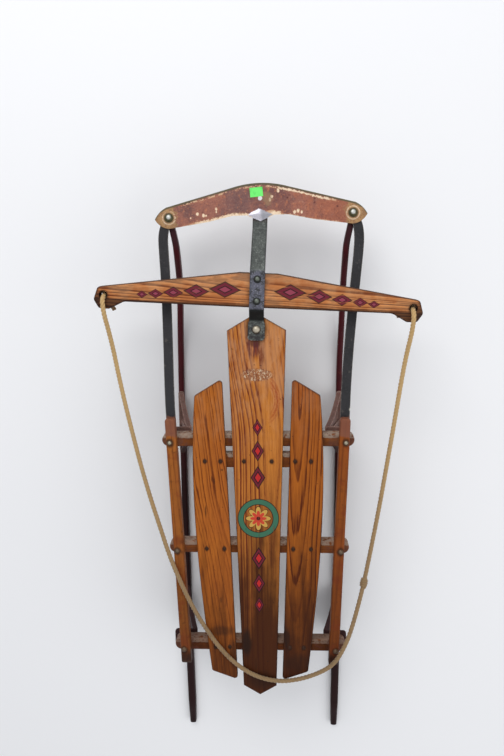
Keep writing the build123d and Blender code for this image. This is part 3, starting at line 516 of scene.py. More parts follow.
def enamel_finish(name, chart, chipped, bare, chips, gloss, specular, extra, scuffs=0.5, metal=0.0):
    """Old enamel: mottled, rubbed on its edges and pitted here and there."""
    finish = Finish(name)
    place = finish.place
    cloud = place.noise(26, 5, 0.6)
    mottle = place.noise(130, 4, 0.6)
    fine = place.noise(420, 4, 0.6)
    scratch = place.scaled(1, 0.1, 1).noise(430, 3, 0.7)
    shade = tuple(c * 0.5 for c in chart)
    light = tuple(min(1, c * 1.7 + 0.014) for c in chart)
    tint = finish.tone(chart).under(
        shade, cloud.mixed(mottle, 0.5).rise(0.46, 0.62) * 0.7,
        light, mottle.mixed(fine, 0.4).rise(0.52, 0.68) * 0.55,
        light, scratch.rise(0.6, 0.68) * scuffs * 0.75,
    )
    edge = finish.edges(0.0024)
    worn = (edge * 1.2).astray(mottle, 1.4, fine, 0.7).rise(1.05 - chips, 1.25 - chips) * edge.rise(0, 0.3)
    spots = place.noise(95, 3, 0.6).astray(fine, 0.25).rise(0.65, 0.70) * chips
    tint = tint.under(
        chipped, (worn + spots).least(1.0) * 0.85,
        bare, worn * fine.rise(0.5, 0.6) * 0.75,
    )
    roughness = gloss + cloud * 0.2 + (worn + spots) * 0.25
    tint = extra(finish, tint, mottle, fine)
    height = fine * 0.25 - worn * 0.5 - spots * 0.6
    return finish.settle(tint, roughness, metal, height=height, specular=specular)


def piece_from(shape, name, material):
    """A bmesh as a new piece of the scene."""
    mesh = bpy.data.meshes.new(name)
    shape.to_mesh(mesh)
    shape.free()
    mesh.materials.append(material)
    piece = bpy.data.objects.new(name, mesh)
    bpy.context.scene.collection.objects.link(piece)
    return piece


def curve_mesh(points, name, kind, **settings):
    """The mesh of a curve that has points as its controls."""
    curve = bpy.data.curves.new(name, "CURVE")
    curve.dimensions = "3D"
    for setting, value in settings.items():
        setattr(curve, setting, value)
    line = curve.splines.new(kind)
    line.points.add(len(points) - 1)
    for point, here in zip(line.points, points):
        point.co = (*here, 1.0)
    line.order_u = 3
    line.use_endpoint_u = True
    obj = bpy.data.objects.new(name, curve)
    bpy.context.scene.collection.objects.link(obj)
    bpy.context.view_layer.update()
    mesh = bpy.data.meshes.new_from_object(obj.evaluated_get(bpy.context.evaluated_depsgraph_get()))
    bpy.data.objects.remove(obj)
    return mesh


def even_points(points, step):
    """The same line with points at an even spacing."""
    gaps = [(b - a).length for a, b in zip(points, points[1:])]
    total = sum(gaps)
    count = max(2, round(total / step))
    out, walked, at = [points[0]], 0.0, 0
    for n in range(1, count):
        goal = total * n / count
        while walked + gaps[at] < goal:
            walked += gaps[at]
            at += 1
        out.append(points[at].lerp(points[at + 1], (goal - walked) / gaps[at]))
    return out + [points[-1]]


def smooth_route(points, name):
    """Points along the smooth curve that has the route's points as its controls."""
    mesh = curve_mesh(points, name, "NURBS", resolution_u=16)
    route = [v.co.copy() for v in mesh.vertices]
    bpy.data.meshes.remove(mesh)
    return route


def laid_rope(points, name, diameter, rope, material, taper=0.0):
    """Strands twisted round a line, as one mesh object. taper frays the last part of it open."""
    points = even_points(points, rope.lay / 14)
    strand = diameter / (1 + 1 / math.sin(math.pi / rope.strands)) * 1.2
    offset = diameter / 2 - strand / 2
    normal = (points[1] - points[0]).orthogonal().normalized()
    frames, walked = [], 0.0
    for n, here in enumerate(points):
        ahead = (points[min(n + 1, len(points) - 1)] - points[max(n - 1, 0)]).normalized()
        normal = (normal - ahead * normal.dot(ahead)).normalized()
        if n:
            walked += (here - points[n - 1]).length
        frames.append((here, normal.copy(), ahead.cross(normal), walked))
    joined = bmesh.new()
    for k in range(rope.strands):
        path = []
        for here, side, up, walked in frames:
            turn = math.tau * (walked / rope.lay + k / rope.strands)
            open_end = 1 + taper * (walked / frames[-1][3]) ** 3
            path.append(here + (side * math.cos(turn) + up * math.sin(turn)) * offset * open_end)
        mesh = curve_mesh(
            path, name, "POLY", bevel_depth=strand / 2, bevel_resolution=2, use_fill_caps=True,
        )
        joined.from_mesh(mesh)
        bpy.data.meshes.remove(mesh)
    piece = piece_from(joined, name, material)
    piece.data.shade_smooth()
    return piece


def wrap_line(route, rope):
    """The line of a few close turns round the rope's right run, with a short loose end."""
    halfway = min(range(len(route)), key=lambda n: abs(route[n].y - WRAP_Y) + (route[n].x < 0))
    ahead = (route[halfway + 1] - route[halfway - 1]).normalized()
    side = ahead.orthogonal().normalized()
    up = ahead.cross(side)
    coil, steps = [], WRAP_TURNS * 16
    for n in range(steps + 1):
        share, a = n / steps, math.tau * n / 16
        reach = rope.diameter / 2 + 0.0002 + 0.0010 * math.sin(math.pi * share)
        round_it = (side * math.cos(a) + up * math.sin(a)) * reach
        coil.append(route[halfway] + ahead * (share - 0.5) * WRAP_LENGTH + round_it)
    return coil + [coil[-1] + Vector((-0.002, 0, 0.001)), coil[-1] + Vector((-0.006, -0.001, 0.001))]


def knot_line(middle):
    """The line of an overhand knot, as a closed trefoil round middle."""
    turns = []
    for n in range(49):
        a = math.tau * n / 48
        reach = 0.0043 + 0.0022 * math.cos(3 * a)
        turns.append(middle + Vector((
            reach * math.cos(2 * a), reach * math.sin(2 * a), 0.0034 * math.sin(3 * a),
        )))
    return turns


def fibre_finish(name, dirt=0.0):
    """Twisted natural fibre, tan at the bar, greyer towards the rope's middle and browner with dirt."""
    rope = bpy.context.scene.sled_rope
    finish = Finish(name)
    cloud = finish.noise(60, 3)
    hair = finish.noise(1900, 4, 0.7)
    greyed = finish.place.split()[1].astray(cloud, 0.25).rise(0.26, -0.22)
    tint = finish.tone(rope.fibre).under(
        rope.shade, greyed * 0.8 + cloud.rise(0.5, 0.75) * 0.2,
        dye(96, 74, 50), hair.rise(0.5, 0.72) * 0.5,
        dye(98, 70, 50), (cloud * 0.4 + dirt).least(1.0) * dirt,
    )
    finish.shader.inputs["Sheen Weight"].default_value = 0.15
    return finish.settle(tint, 0.9, height=hair, depth=0.0006, specular=0.2)


class SLED_OT_stage(bpy.types.Operator):
    """Sets the camera at the reference viewing angle, with a plain pale floor and soft lamps"""

    bl_idname = "sled.stage"
    bl_label = "Stage and Camera"

    def execute(self, context):
        stage = context.scene.sled_stage
        camera = bpy.data.cameras.new("sled_camera")
        camera.lens = stage.lens
        eye = bpy.data.objects.new("sled_camera", camera)
        eye.location = CAMERA_PLACE
        eye.rotation_euler = [math.radians(a) for a in CAMERA_TURN]
        context.scene.collection.objects.link(eye)
        context.scene.camera = eye

        ground = bmesh.new()
        bmesh.ops.create_grid(ground, x_segments=1, y_segments=1, size=12.0)
        floor = piece_from(ground, "pale_floor", Finish("pale_floor").settle((*stage.floor, 1.0), 0.75))

        for name, place, size, power in (
            ("lamp_ahead", (-0.5, 2.1, 2.0), 1.6, stage.key),
            ("lamp_beside", (1.9, -0.4, 1.9), 2.2, stage.key * 0.45),
        ):
            lamp = bpy.data.lights.new(name, "AREA")
            lamp.size = size
            lamp.energy = power
            light = bpy.data.objects.new(name, lamp)
            light.location = place
            aim = Vector((0, 0.05, 0.1)) - Vector(place)
            light.rotation_euler = aim.to_track_quat("-Z", "Y").to_euler()
            context.scene.collection.objects.link(light)

        world = context.scene.world or bpy.data.worlds.new("soft_sky")
        context.scene.world = world
        world.use_nodes = True
        sky = world.node_tree.nodes["Background"]
        sky.inputs["Color"].default_value = (0.94, 0.96, 1.0, 1.0)
        sky.inputs["Strength"].default_value = stage.fill
        context.scene.view_settings.view_transform = "Standard"
        return {"FINISHED"}


class SLED_OT_tow_rope(bpy.types.Operator):
    """Lays the tow rope from hole to hole of the steering bar, back over the deck"""

    bl_idname = "sled.tow_rope"
    bl_label = "Tow Rope"

    def execute(self, context):
        rope = context.scene.sled_rope
        material, brown = fibre_finish("natural_fibre"), fibre_finish("soiled_fibre", 0.8)
        controls = [Vector((x, y, z)) / 1000 + PIVOT for x, y, z in ROPE_POINTS]
        route = smooth_route(controls, "tow_rope_route")
        piece = laid_rope(route, "tow_rope_laid", rope.diameter, rope, material)
        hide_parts("tow_rope")
        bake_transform(piece)
        wrap = laid_rope(wrap_line(route, rope), "rope_wrap", WRAP_CORD, rope, material)
        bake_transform(wrap)
        knots = [wrap]
        for side, end, tail in (
            ("left", controls[0],
             ((0.001, -0.008, -0.010), (0.0035, -0.019, -0.0115), (0.0075, -0.0275, -0.011))),
            ("right", controls[-1],
             ((-0.003, -0.006, -0.0105), (-0.010, -0.013, -0.0125), (-0.019, -0.016, -0.0125))),
        ):
            middle = Vector((end.x, end.y, KNOT_Z))
            knot = laid_rope(knot_line(middle), f"knot_{side}", rope.diameter * 0.72, rope, brown)
            stub = even_points([middle + Vector(step) for step in ((0, 0, -0.002), *tail)], 0.002)
            loose = laid_rope(stub, f"knot_tail_{side}", rope.diameter * 0.8, rope, brown, 0.5)
            for part in (knot, loose):
                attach(part, "steering")
            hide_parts(f"rope_knot_{side}")
            knots += [knot, loose]
        return {"FINISHED"}


def right_half(finish):
    """Calm grain on the right half of the plank."""
    x = finish.place.split()[0]
    return x.astray(finish.noise(30, 2), 0.02).rise(0.002, 0.012) * x.rise(0.046, 0.036)


def lower_part(finish):
    """Calm grain on the rear of the left slat."""
    y = finish.place.split()[1]
    return y.astray(finish.noise(20, 2), 0.05).rise(0.015, -0.03) * 0.75


class SLED_OT_deck(bpy.types.Operator):
    """Finishes the centre plank and the two side slats"""

    bl_idname = "sled.deck"
    bl_label = "Deck Boards"

    def execute(self, context):
        look = context.scene.sled_wood
        front_row, middle_row, rear_row = 0.068, *BENCH_ROWS[1:]
        rivets = [((side * x, y), (0.0046, 0.006), 0.75) for side in (-1, 1) for x, y in (
            (0.062, front_row), (0.088, front_row), (0.0585, middle_row), (0.0885, middle_row),
            (0.0525, rear_row), (0.077, rear_row),
        )]
        left, right = rivets[:6], rivets[6:]
        plank = [((side * 0.023, front_row), (0.0046, 0.006), 0.75) for side in (-1, 1)]
        plank += [
            ((0.0, 0.287), (0.0205, 0.0265), 0.9), ((-0.003, 0.2665), (0.0125, 0.0085), 0.8),
            ((-0.0225, -0.262), (0.009, 0.03), 0.8), ((0.004, -0.335), (0.03, 0.02), 0.5),
        ]
        left += [
            ((-0.066, -0.240), (0.024, 0.011), 0.5), ((-0.045, -0.285), (0.01, 0.03), 0.4),
            ((-0.0886, -0.020), (0.0012, 0.0125), 0.85), ((-0.0770, 0.0375), (0.0011, 0.0065), 0.75),
            ((-0.0735, 0.0335), (0.0011, 0.0060), 0.75), ((-0.0597, 0.0532), (0.0018, 0.0024), 0.7),
            ((-0.0662, -0.1816), (0.0013, 0.0060), 0.6),
        ]
        right += [((0.047, -0.255), (0.006, 0.03), 0.7), ((0.07, -0.30), (0.03, 0.02), 0.4)]

        deck_finish(
            "centre_plank", look, plank, (0.05, -0.23, 0.95), extra=plank_marks, pith=(0.021, 0.100),
            lean=(0.012, 0.012), wander=0.013, calm=right_half, bold=1.35, late=dye(104, 40, 22),
            bend=(0.10, 0.32, 0.026), spacing=0.86,
        )
        deck_finish(
            "side_slat_left", look, left, (-0.06, -0.36, 0.85), 0.3, pith=(-0.175, 0.085), lean=(-0.13, 0.03),
            wander=0.02, spacing=1.2, bold=0.8, early=look.golden, late=dye(100, 44, 14),
            bend=(-0.12, 0.03, 0.012), calm=lower_part,
        )
        deck_finish(
            "side_slat_right", look, right, (0.06, -0.30, 0.95), 0.2, pith=(0.064, 0.128), lean=(0.02, 0.06),
            wander=0.024, spacing=1.15, bold=0.85, early=dye(168, 93, 28), late=dye(86, 33, 10),
        )
        return {"FINISHED"}


def bench_finish(node, look, paint, pith, age_and_shade):
    """Finish of a cross bench or the cleat: dark wood, darkest on the rear bench from age and painted shade,
    with a pale painted highlight along its front edge.
    """
    finish = Finish("worn_varnish_" + node)
    tint, roughness, height, x, y = wood(
        finish, look, pith=(pith, 0.09), lean=(0.004, 0.02), wander=0.006, lengthwise="X",
        bold=0.35, spacing=0.8, early=dye(158, 90, 38),
    )
    cloud = finish.noise(30, 4)
    mottle = finish.noise(120, 4, 0.6)
    front_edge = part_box(node)[1][1]
    # Painted highlight: a pale mottled band along the bench's front edge.
    lit_front_edge = y.astray(mottle, 0.005).rise(front_edge - 0.0085, front_edge - 0.006)
    tint = tint.under(
        look.aged_and_shaded, cloud.rise(0.3, 0.65) * 0.36 + age_and_shade,
        paint.knee, abs(x).astray(mottle, 0.05).rise(0.11, 0.135) * 0.35,
        dye(160, 142, 126), lit_front_edge * mottle.rise(0.34, 0.5) * y.rise(-0.6, 0.1) * 0.85,
        dye(92, 50, 40), mottle.astray(cloud, 0.4).rise(0.56, 0.66) * 0.6,
    )
    wear(node, finish.settle(tint, roughness + 0.1, height=height, specular=0.1))


def rail_finish(node, look, side, early):
    """Finish of a side rail: darker towards the tail, part age and part painted shade, with grime round its
    bolts and a rubbed nose.
    """
    finish = Finish("worn_varnish_" + node)
    tint, roughness, height, x, y = wood(
        finish, look, pith=(side * 0.12, 0.11), lean=(side * 0.045, 0.01), wander=0.005, spacing=0.8,
        bold=0.4, early=early,
    )
    cloud = finish.noise(34, 4)
    mottle = finish.noise(120, 4)
    nose = y.astray(mottle, 0.012).rise(0.111, 0.1145)
    # The first coat darkens towards the tail, part age and part painted shade.
    tint = tint.under(
        look.aged_and_shaded, (y * -1.0).astray(cloud, 0.3).rise(-0.16, 0.38) * 0.6,
        dye(112, 44, 24), cloud.rise(0.52, 0.62) * 0.35,
        look.grime, mottle.rise(0.55, 0.75) * 0.4,
        dye(122, 78, 62), nose * (0.95 - cloud * 0.3),
        look.grime, y.astray(cloud, 0.02).rise(-0.266, -0.284) * 0.8,
    )
    spots = [((side * out, row), (0.0075, 0.009), 0.75) for out, row in zip(RAIL_BOLTS, BENCH_ROWS)]
    tint = stained(tint, look.grime, x, y, spots, cloud)
    tint = tint.under(look.grime, finish.edges(0.003) * (cloud * 0.5 + 0.3))
    wear(node, finish.settle(tint, roughness, height=height, specular=0.09, coat=0.04))


class SLED_OT_benches_and_rails(bpy.types.Operator):
    """Finishes the cross benches, the cleat and the side rails"""

    bl_idname = "sled.benches_and_rails"
    bl_label = "Benches and Rails"

    def execute(self, context):
        look = context.scene.sled_wood
        paint = context.scene.sled_paint
        # The last number darkens each bench; the rear bench's larger one is painted shade as well as age.
        for n, (node, age_and_shade) in enumerate((
            ("front_bench", 0.34), ("middle_bench", 0.34), ("rear_bench", 0.56), ("deck_cleat", 0.34),
        )):
            bench_finish(node, look, paint, 0.02 * n - 0.02, age_and_shade)
        rail_finish("side_rail_left", look, -1, dye(164, 98, 40))
        rail_finish("side_rail_right", look, 1, dye(144, 76, 26))
        return {"FINISHED"}


class SLED_OT_steering_bar(bpy.types.Operator):
    """Finishes the steering bar with its painted lozenges"""

    bl_idname = "sled.steering_bar"
    bl_label = "Steering Bar"

    def execute(self, context):
        look = context.scene.sled_wood
        finish = Finish("worn_varnish_steering_bar")
        tint, roughness, height, x, y = wood(
            finish, look, pith=(0.085, 0.10), lean=(0.02, 0.03), wander=0.008, lengthwise="X", turn=BAR_REST,
            spacing=0.62, bold=1.4, early=dye(208, 136, 78), late=dye(80, 36, 18),
        )
        cloud = finish.noise(40, 4)
        mid = finish.place.scaled(0.15, 1, 1).noise(150, 4, 0.6)
        holes = [((side * 0.243, 0.043), (0.010, 0.008), 0.5) for side in (-1, 1)]
        strap = [((0.0, 0.063), (0.0175, 0.032), 0.7)]
        tint = tint.under(
            look.worn, (cloud * 0.6 + mid * 0.4 + (y - 0.06) * 4.0).rise(0.38, 0.68) * 0.45,
            look.aged_and_shaded, mid.astray(cloud, 0.5).rise(0.55, 0.7) * 0.4,
            look.red, cloud.mixed(mid, 0.3).rise(0.56, 0.42) * 0.3,
            look.grime, y.astray(cloud, 0.005).rise(0.0430, 0.0385) * 0.8,
            look.grime, abs(x).astray(cloud, 0.006).rise(0.2465, 0.2530) * 0.7,
        )
        tint = stained(tint, look.grime, x, y, holes + strap, cloud)
        tint = bar_ornament(finish, tint, x, y, cloud)
        # Grime on the edges and painted shade on the sides that turn down from the top.
        rim_grime_and_shade = finish.edges(0.006).most(finish.sides())
        tint = tint.under(dye(50, 27, 16), rim_grime_and_shade * (mid * 0.6 + 0.55).least(0.95))
        wear("steering_bar", finish.settle(tint, roughness, height=height, specular=0.12, coat=0.06))
        return {"FINISHED"}


def runner_shade(finish, tint, mottle, fine):
    """Runners get darker behind the bumper's ends and towards the tail: painted shade."""
    y = finish.place.split()[1]
    return tint.under(
        dye(28, 15, 14), y.astray(mottle, 0.1).rise(0.16, -0.05) * 0.85,
        dye(40, 20, 24), y.astray(mottle, 0.03).rise(0.40, 0.43) * 0.7,
    )


def iron_marks(finish, tint, mottle, fine):
    """Side irons are rubbed where they run under the rails, with one pale chip."""
    x, y = finish.place.split()[:2]
    return tint.under(
        dye(112, 80, 68), y.astray(mottle, 0.02).rise(0.146, 0.142) * 0.85,
        dye(176, 172, 160),
        ellipse(x, y, (0.1511, 0.1553), (0.0016, 0.0024)).astray(fine, 1.0).rise(1.1, 0.7),
    )


def tail_middle(y):
    """How far out the middle of a runner lies."""
    return RUNNER_X - DRAW_SLOPE * max(0.0, DRAW_START - y)


class SLED_OT_runners(bpy.types.Operator):
    """Finishes the runners and the side irons, and lays in copies of them with the runners' tails widened"""

    bl_idname = "sled.runners"
    bl_label = "Runners and Side Irons"

    def execute(self, context):
        paint = context.scene.sled_paint

        runner = enamel_finish(
            "runner_enamel", paint.runner, paint.rust, dye(104, 70, 60), chips=0.34, scuffs=0.4, gloss=0.3,
            extra=runner_shade, specular=0.14,
        )
        iron = enamel_finish(
            "side_iron_enamel", paint.iron, dye(96, 90, 84), dye(140, 136, 130), chips=0.46, scuffs=0.4,
            gloss=0.34, extra=iron_marks, specular=0.22,
        )
        for side in ("left", "right"):
            for node, material, slot in ((f"runner_{side}", runner, "runner_paint"),
                                         (f"side_iron_{side}", iron, "iron_black")):
                copy = bmesh.new()
                copy.from_mesh(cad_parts[node].data)
                bmesh.ops.remove_doubles(copy, verts=copy.verts, dist=1e-6)
                for point in copy.verts:
                    if slot == "runner_paint" and point.co.y < TAIL_START:
                        share = min(1.0, (TAIL_START - point.co.y) / (TAIL_START - TAIL_END))
                        middle = math.copysign(tail_middle(point.co.y), point.co.x)
                        point.co.x = middle + (point.co.x - middle) * (1 + (TAIL_WIDER - 1) * share)
                piece = piece_from(copy, node + "_flexed", material)
                piece.data.shade_smooth()
                piece.data.set_sharp_from_angle(angle=math.radians(30))
                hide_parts(node)
                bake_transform(piece)
        return {"FINISHED"}


def knee_wear_highlight_and_shade(finish, tint, mottle, fine):
    """Knees have pale edges, part wear and part painted highlight, and red flecks, and get darker behind the
    front bench and towards the tail, which is painted shade.
    """
    y = finish.place.split()[1]
    # Pale edges: part wear, part painted highlight.
    pale = finish.edges(0.0035) * mottle.mixed(fine, 0.3).rise(0.4, 0.55)
    return tint.under(
        dye(178, 150, 138), pale * 0.75,
        dye(104, 34, 32), mottle.mixed(fine, 0.5).rise(0.54, 0.62) * 0.6,
        # Painted shade behind the front bench and towards the tail.
        dye(44, 24, 26), y.astray(mottle, 0.04).rise(0.105, 0.085) * 0.8,
        dye(52, 28, 28), y.rise(0.0, -0.15) * 0.85,
    )


class SLED_OT_knees(bpy.types.Operator):
    """Finishes the pressed knees and their rivets"""

    bl_idname = "sled.knees"
    bl_label = "Knees"

    def execute(self, context):
        paint = context.scene.sled_paint

        knee = enamel_finish(
            "knee_enamel", paint.knee, paint.rust, dye(150, 130, 118), chips=0.45, gloss=0.5,
            extra=knee_wear_highlight_and_shade, specular=0.2,
        )
        for row in ("front", "rear"):
            for side in ("left", "right"):
                wear(f"knee_{row}_{side}", knee)
        wear("knee_rivets", knee)
        return {"FINISHED"}


def bumper_finish(paint):
    """Brown red rubbed through to cream, khaki ends, a dark olive line along the front edge and a polished
    beak with a painted highlight on its left facets.
    """
    finish = Finish("rubbed_bumper_enamel")
    place = finish.place.turned((FRONT_SHIFT, PIVOT.y + STRAP_REACH, 0), FRONT_YAW)
    x, y, up = place.split()
    y = y + STRAP_REACH
    out = abs(x)
    cloud = place.noise(30, 5, 0.6)
    mottle = place.noise(110, 4, 0.65)
    fine = place.noise(330, 4, 0.65)
    speckle = place.noise(760, 3, 0.65)

    def outline(*stops):
        """How far ahead an edge of the bumper lies, from stops along its half."""
        return out.node("ValToRGB", {"stops": stops}, {"Fac": out / 0.18}) * 0.1 + 0.15

    from_front = outline(
        (0.0, 0.79), (0.128, 0.768), (0.256, 0.722), (0.833, 0.455), (0.9, 0.39), (0.945, 0.27),
        (1.0, 0.22),
    ) - y
    from_rear = y - outline(
        (0.0, 0.2), (0.122, 0.295), (0.25, 0.295), (0.467, 0.21), (0.82, 0.12), (1.0, 0.3),
    )
    tint = finish.tone(paint.bumper).under(
        dye(110, 72, 68), cloud.astray(fine, 0.6).rise(0.44, 0.6),
        dye(112, 80, 78), abs(x + 0.036).astray(mottle, 0.04).rise(0.03, 0.012) * 0.65,
        dye(110, 66, 62), abs(x - 0.034).astray(mottle, 0.03).rise(0.02, 0.006) * 0.5,
        dye(168, 92, 58), x.astray(mottle, 0.1).rise(0.04, 0.12) * 0.55,
        dye(186, 108, 66), mottle.mixed(fine, 0.6).rise(0.52, 0.64) * 0.6,
        dye(200, 164, 134), fine.mixed(speckle, 0.6).rise(0.55, 0.66) * 0.45,
        dye(88, 46, 38), fine.mixed(speckle, 0.6).rise(0.48, 0.38) * 0.7,
    )
    for centre in ((0.086, 0.1965), (0.0865, 0.2025), (0.0435, 0.205), (0.122, 0.1895)):
        spot = ellipse(x, y, centre, (0.0018, 0.0016)).astray(fine, 1.0).rise(1.2, 0.6)
        tint = tint.under(dye(86, 36, 32), spot * 0.8)

    edge_chips = from_front.astray(mottle, 0.004, fine, 0.008, speckle, 0.004)
    chips = edge_chips.rise(0.0072, 0.0058) * edge_chips.rise(0.0030, 0.0042)
    long_streak = x.rise(0.026, 0.032) * x.rise(0.118, 0.104)
    scattered = mottle.mixed(fine, 0.5).rise(0.46, 0.54) * out.rise(0.13, 0.12) * 0.6
    chips = chips * long_streak.most(scattered)
    inner = from_rear.astray(mottle, 0.006, fine, 0.011, speckle, 0.006)
    side_wear = x.rise(-0.125, -0.09) * x.rise(0.04, 0.03)
    rubbed = inner.rise(0.0050, 0.0020) * side_wear
    rubbed = rubbed.most(inner.rise(0.0022, 0.0006) * out.rise(0.138, 0.12) * fine.rise(0.4, 0.5) * 0.7)
    pale = ellipse(x, y, (0.019, 0.183), (0.012, 0.0045)).astray(fine, 2.0).rise(1.2, 0.6) * 0.55
    cream = (chips + rubbed + pale).least(1.0)
    for centre, half in (
        ((-0.1006, 0.1837), 0.0026), ((-0.091, 0.1811), 0.0024), ((-0.087, 0.1808), 0.0016),
        ((-0.0703, 0.1907), 0.0022), ((-0.0703, 0.1860), 0.0014), ((-0.1118, 0.1778), 0.0012),
        ((0.0545, 0.1830), 0.0026), ((0.0600, 0.1842), 0.0028), ((0.0655, 0.1822), 0.0022),
        ((0.029, 0.2165), 0.0026), ((0.0155, 0.203), 0.0024), ((0.0185, 0.2075), 0.0022),
    ):
        fleck = ellipse(x, y, centre, (half, half * 1.2)).astray(fine, 1.8, speckle, 1.0)
        cream = cream.most(fleck.rise(1.1, 0.7))
    olive_patch = ellipse(x, y, (0.012, 0.205), (0.009, 0.013)).astray(mottle, 1.2).rise(1.1, 0.5)
    boss = ellipse(out, y, (0.1468, 0.179), (0.01, 0.01))
    end = out.astray(mottle, 0.022, fine, 0.016).rise(0.132, 0.140)
    ring = abs(boss - 1.02).rise(0.13, 0.05) * fine.mixed(cloud, 0.5).rise(0.42, 0.52)
    dark_front_edge = from_front.astray(fine, 0.0022).rise(0.0034, 0.0022)
    beak = up.rise(0.1099, 0.1104).most(ellipse(x, y, (0.0, 0.1745), (0.014, 0.0055)).rise(1.05, 0.95))
    beak = beak * abs(x).astray(fine, 0.004).rise(0.0225, 0.0195)
    beak = beak * (y + abs(x + 0.002) * 0.42).astray(fine, 0.006).rise(0.1905, 0.1885)
    # Silver beak with a painted highlight: its left facets are paler than its right.
    beak_silver_and_highlight = finish.tone(dye(172, 172, 180)).under(
        dye(228, 224, 234), x.astray(mottle, 0.01).rise(0.005, -0.003),
        dye(140, 132, 130), speckle.rise(0.55, 0.65) * 0.5,
    )
    tint = tint.under(
        dye(190, 108, 66), cream.rise(0.05, 0.45) * 0.7,
        dye(206, 176, 140), cream.rise(0.25, 0.6) * 0.8,
        paint.cream, cream.rise(0.5, 0.9) * speckle.rise(0.34, 0.5),
        dye(142, 116, 84), olive_patch * 0.6,
        paint.khaki, end * 0.85,
        dye(124, 84, 56), end * mottle.mixed(fine, 0.6).rise(0.47, 0.57) * 0.75,
        dye(208, 176, 132), end * fine.mixed(speckle, 0.6).rise(0.54, 0.62) * 0.6,
        dye(120, 84, 50), end * boss.astray(fine, 0.4).rise(1.2, 1.8) * 0.35,
        paint.cream, ring * 0.75,
        dye(66, 60, 40), boss.astray(fine, 0.2).rise(0.86, 0.72) * 0.85,
        paint.olive, dark_front_edge * 0.9,
        beak_silver_and_highlight, beak,
    )
    roughness = 0.5 + cloud * 0.2 - beak * 0.2
    height = fine * 0.3 - cream * 0.35 + mottle * 0.25
    return finish.settle(tint, roughness, beak * 0.55, height=height, depth=0.0004)


class SLED_OT_bumper(bpy.types.Operator):
    """Finishes the bumper: brown red rubbed through to cream, a dark olive front edge and a polished beak"""

    bl_idname = "sled.bumper"
    bl_label = "Bumper"

    def execute(self, context):
        wear("bumper", bumper_finish(context.scene.sled_paint))
        return {"FINISHED"}


def strap_marks(finish, tint, mottle, fine):
    """The strap is mottled and bluish over the bar, with painted shade in the bend down from the bar and
    darker mottling behind it.
    """
    x, y = finish.place.turned(PIVOT, STRAP_REST).split()[:2]
    over_bar = y.rise(0.03, 0.036) * y.rise(0.097, 0.09)
    return tint.under(
        dye(52, 54, 54), mottle.mixed(fine, 0.5).rise(0.52, 0.44) * 0.55,
        dye(136, 140, 134), mottle.mixed(fine, 0.5).rise(0.54, 0.62) * 0.5,
        dye(96, 95, 112), over_bar * mottle.rise(0.35, 0.55) * 0.7,
        dye(52, 50, 58), over_bar * mottle.rise(0.5, 0.4) * 0.6,
        dye(150, 148, 164), over_bar * fine.rise(0.55, 0.64) * 0.45,
        # Painted shade: near black where the strap bends down from the bar, facing away from the light.
        dye(12, 12, 13), y.rise(0.012, 0.017) * y.rise(0.037, 0.032) * 0.95,
        dye(46, 42, 44), y.rise(0.014, 0.010) * mottle.rise(0.6, 0.4) * 0.8,
        dye(40, 40, 42), abs(x).rise(0.0085, 0.0115) * y.rise(0.03, 0.1) * 0.6,
        dye(60, 36, 32), y.rise(0.166, 0.176) * 0.8,
    )


class SLED_OT_strap(bpy.types.Operator):
    """Finishes the steering strap"""

    bl_idname = "sled.strap"
    bl_label = "Steering Strap"

    def execute(self, context):
        paint = context.scene.sled_paint

        strap = enamel_finish(
            "strap_enamel", paint.strap, dye(62, 52, 46), dye(140, 140, 140), chips=0.42, gloss=0.36,
            metal=0.15, extra=strap_marks, specular=0.22,
        )
        wear("steering_strap", strap)
        return {"FINISHED"}


def strap_place(reach):
    """A place on the strap's middle line, by its reach from the steering bolt."""
    return PIVOT.x - reach * math.sin(STRAP_REST), PIVOT.y + reach * math.cos(STRAP_REST)


def middle(node):
    """The middle of a node from above."""
    low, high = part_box(node)
    return (low[0] + high[0]) / 2, (low[1] + high[1]) / 2


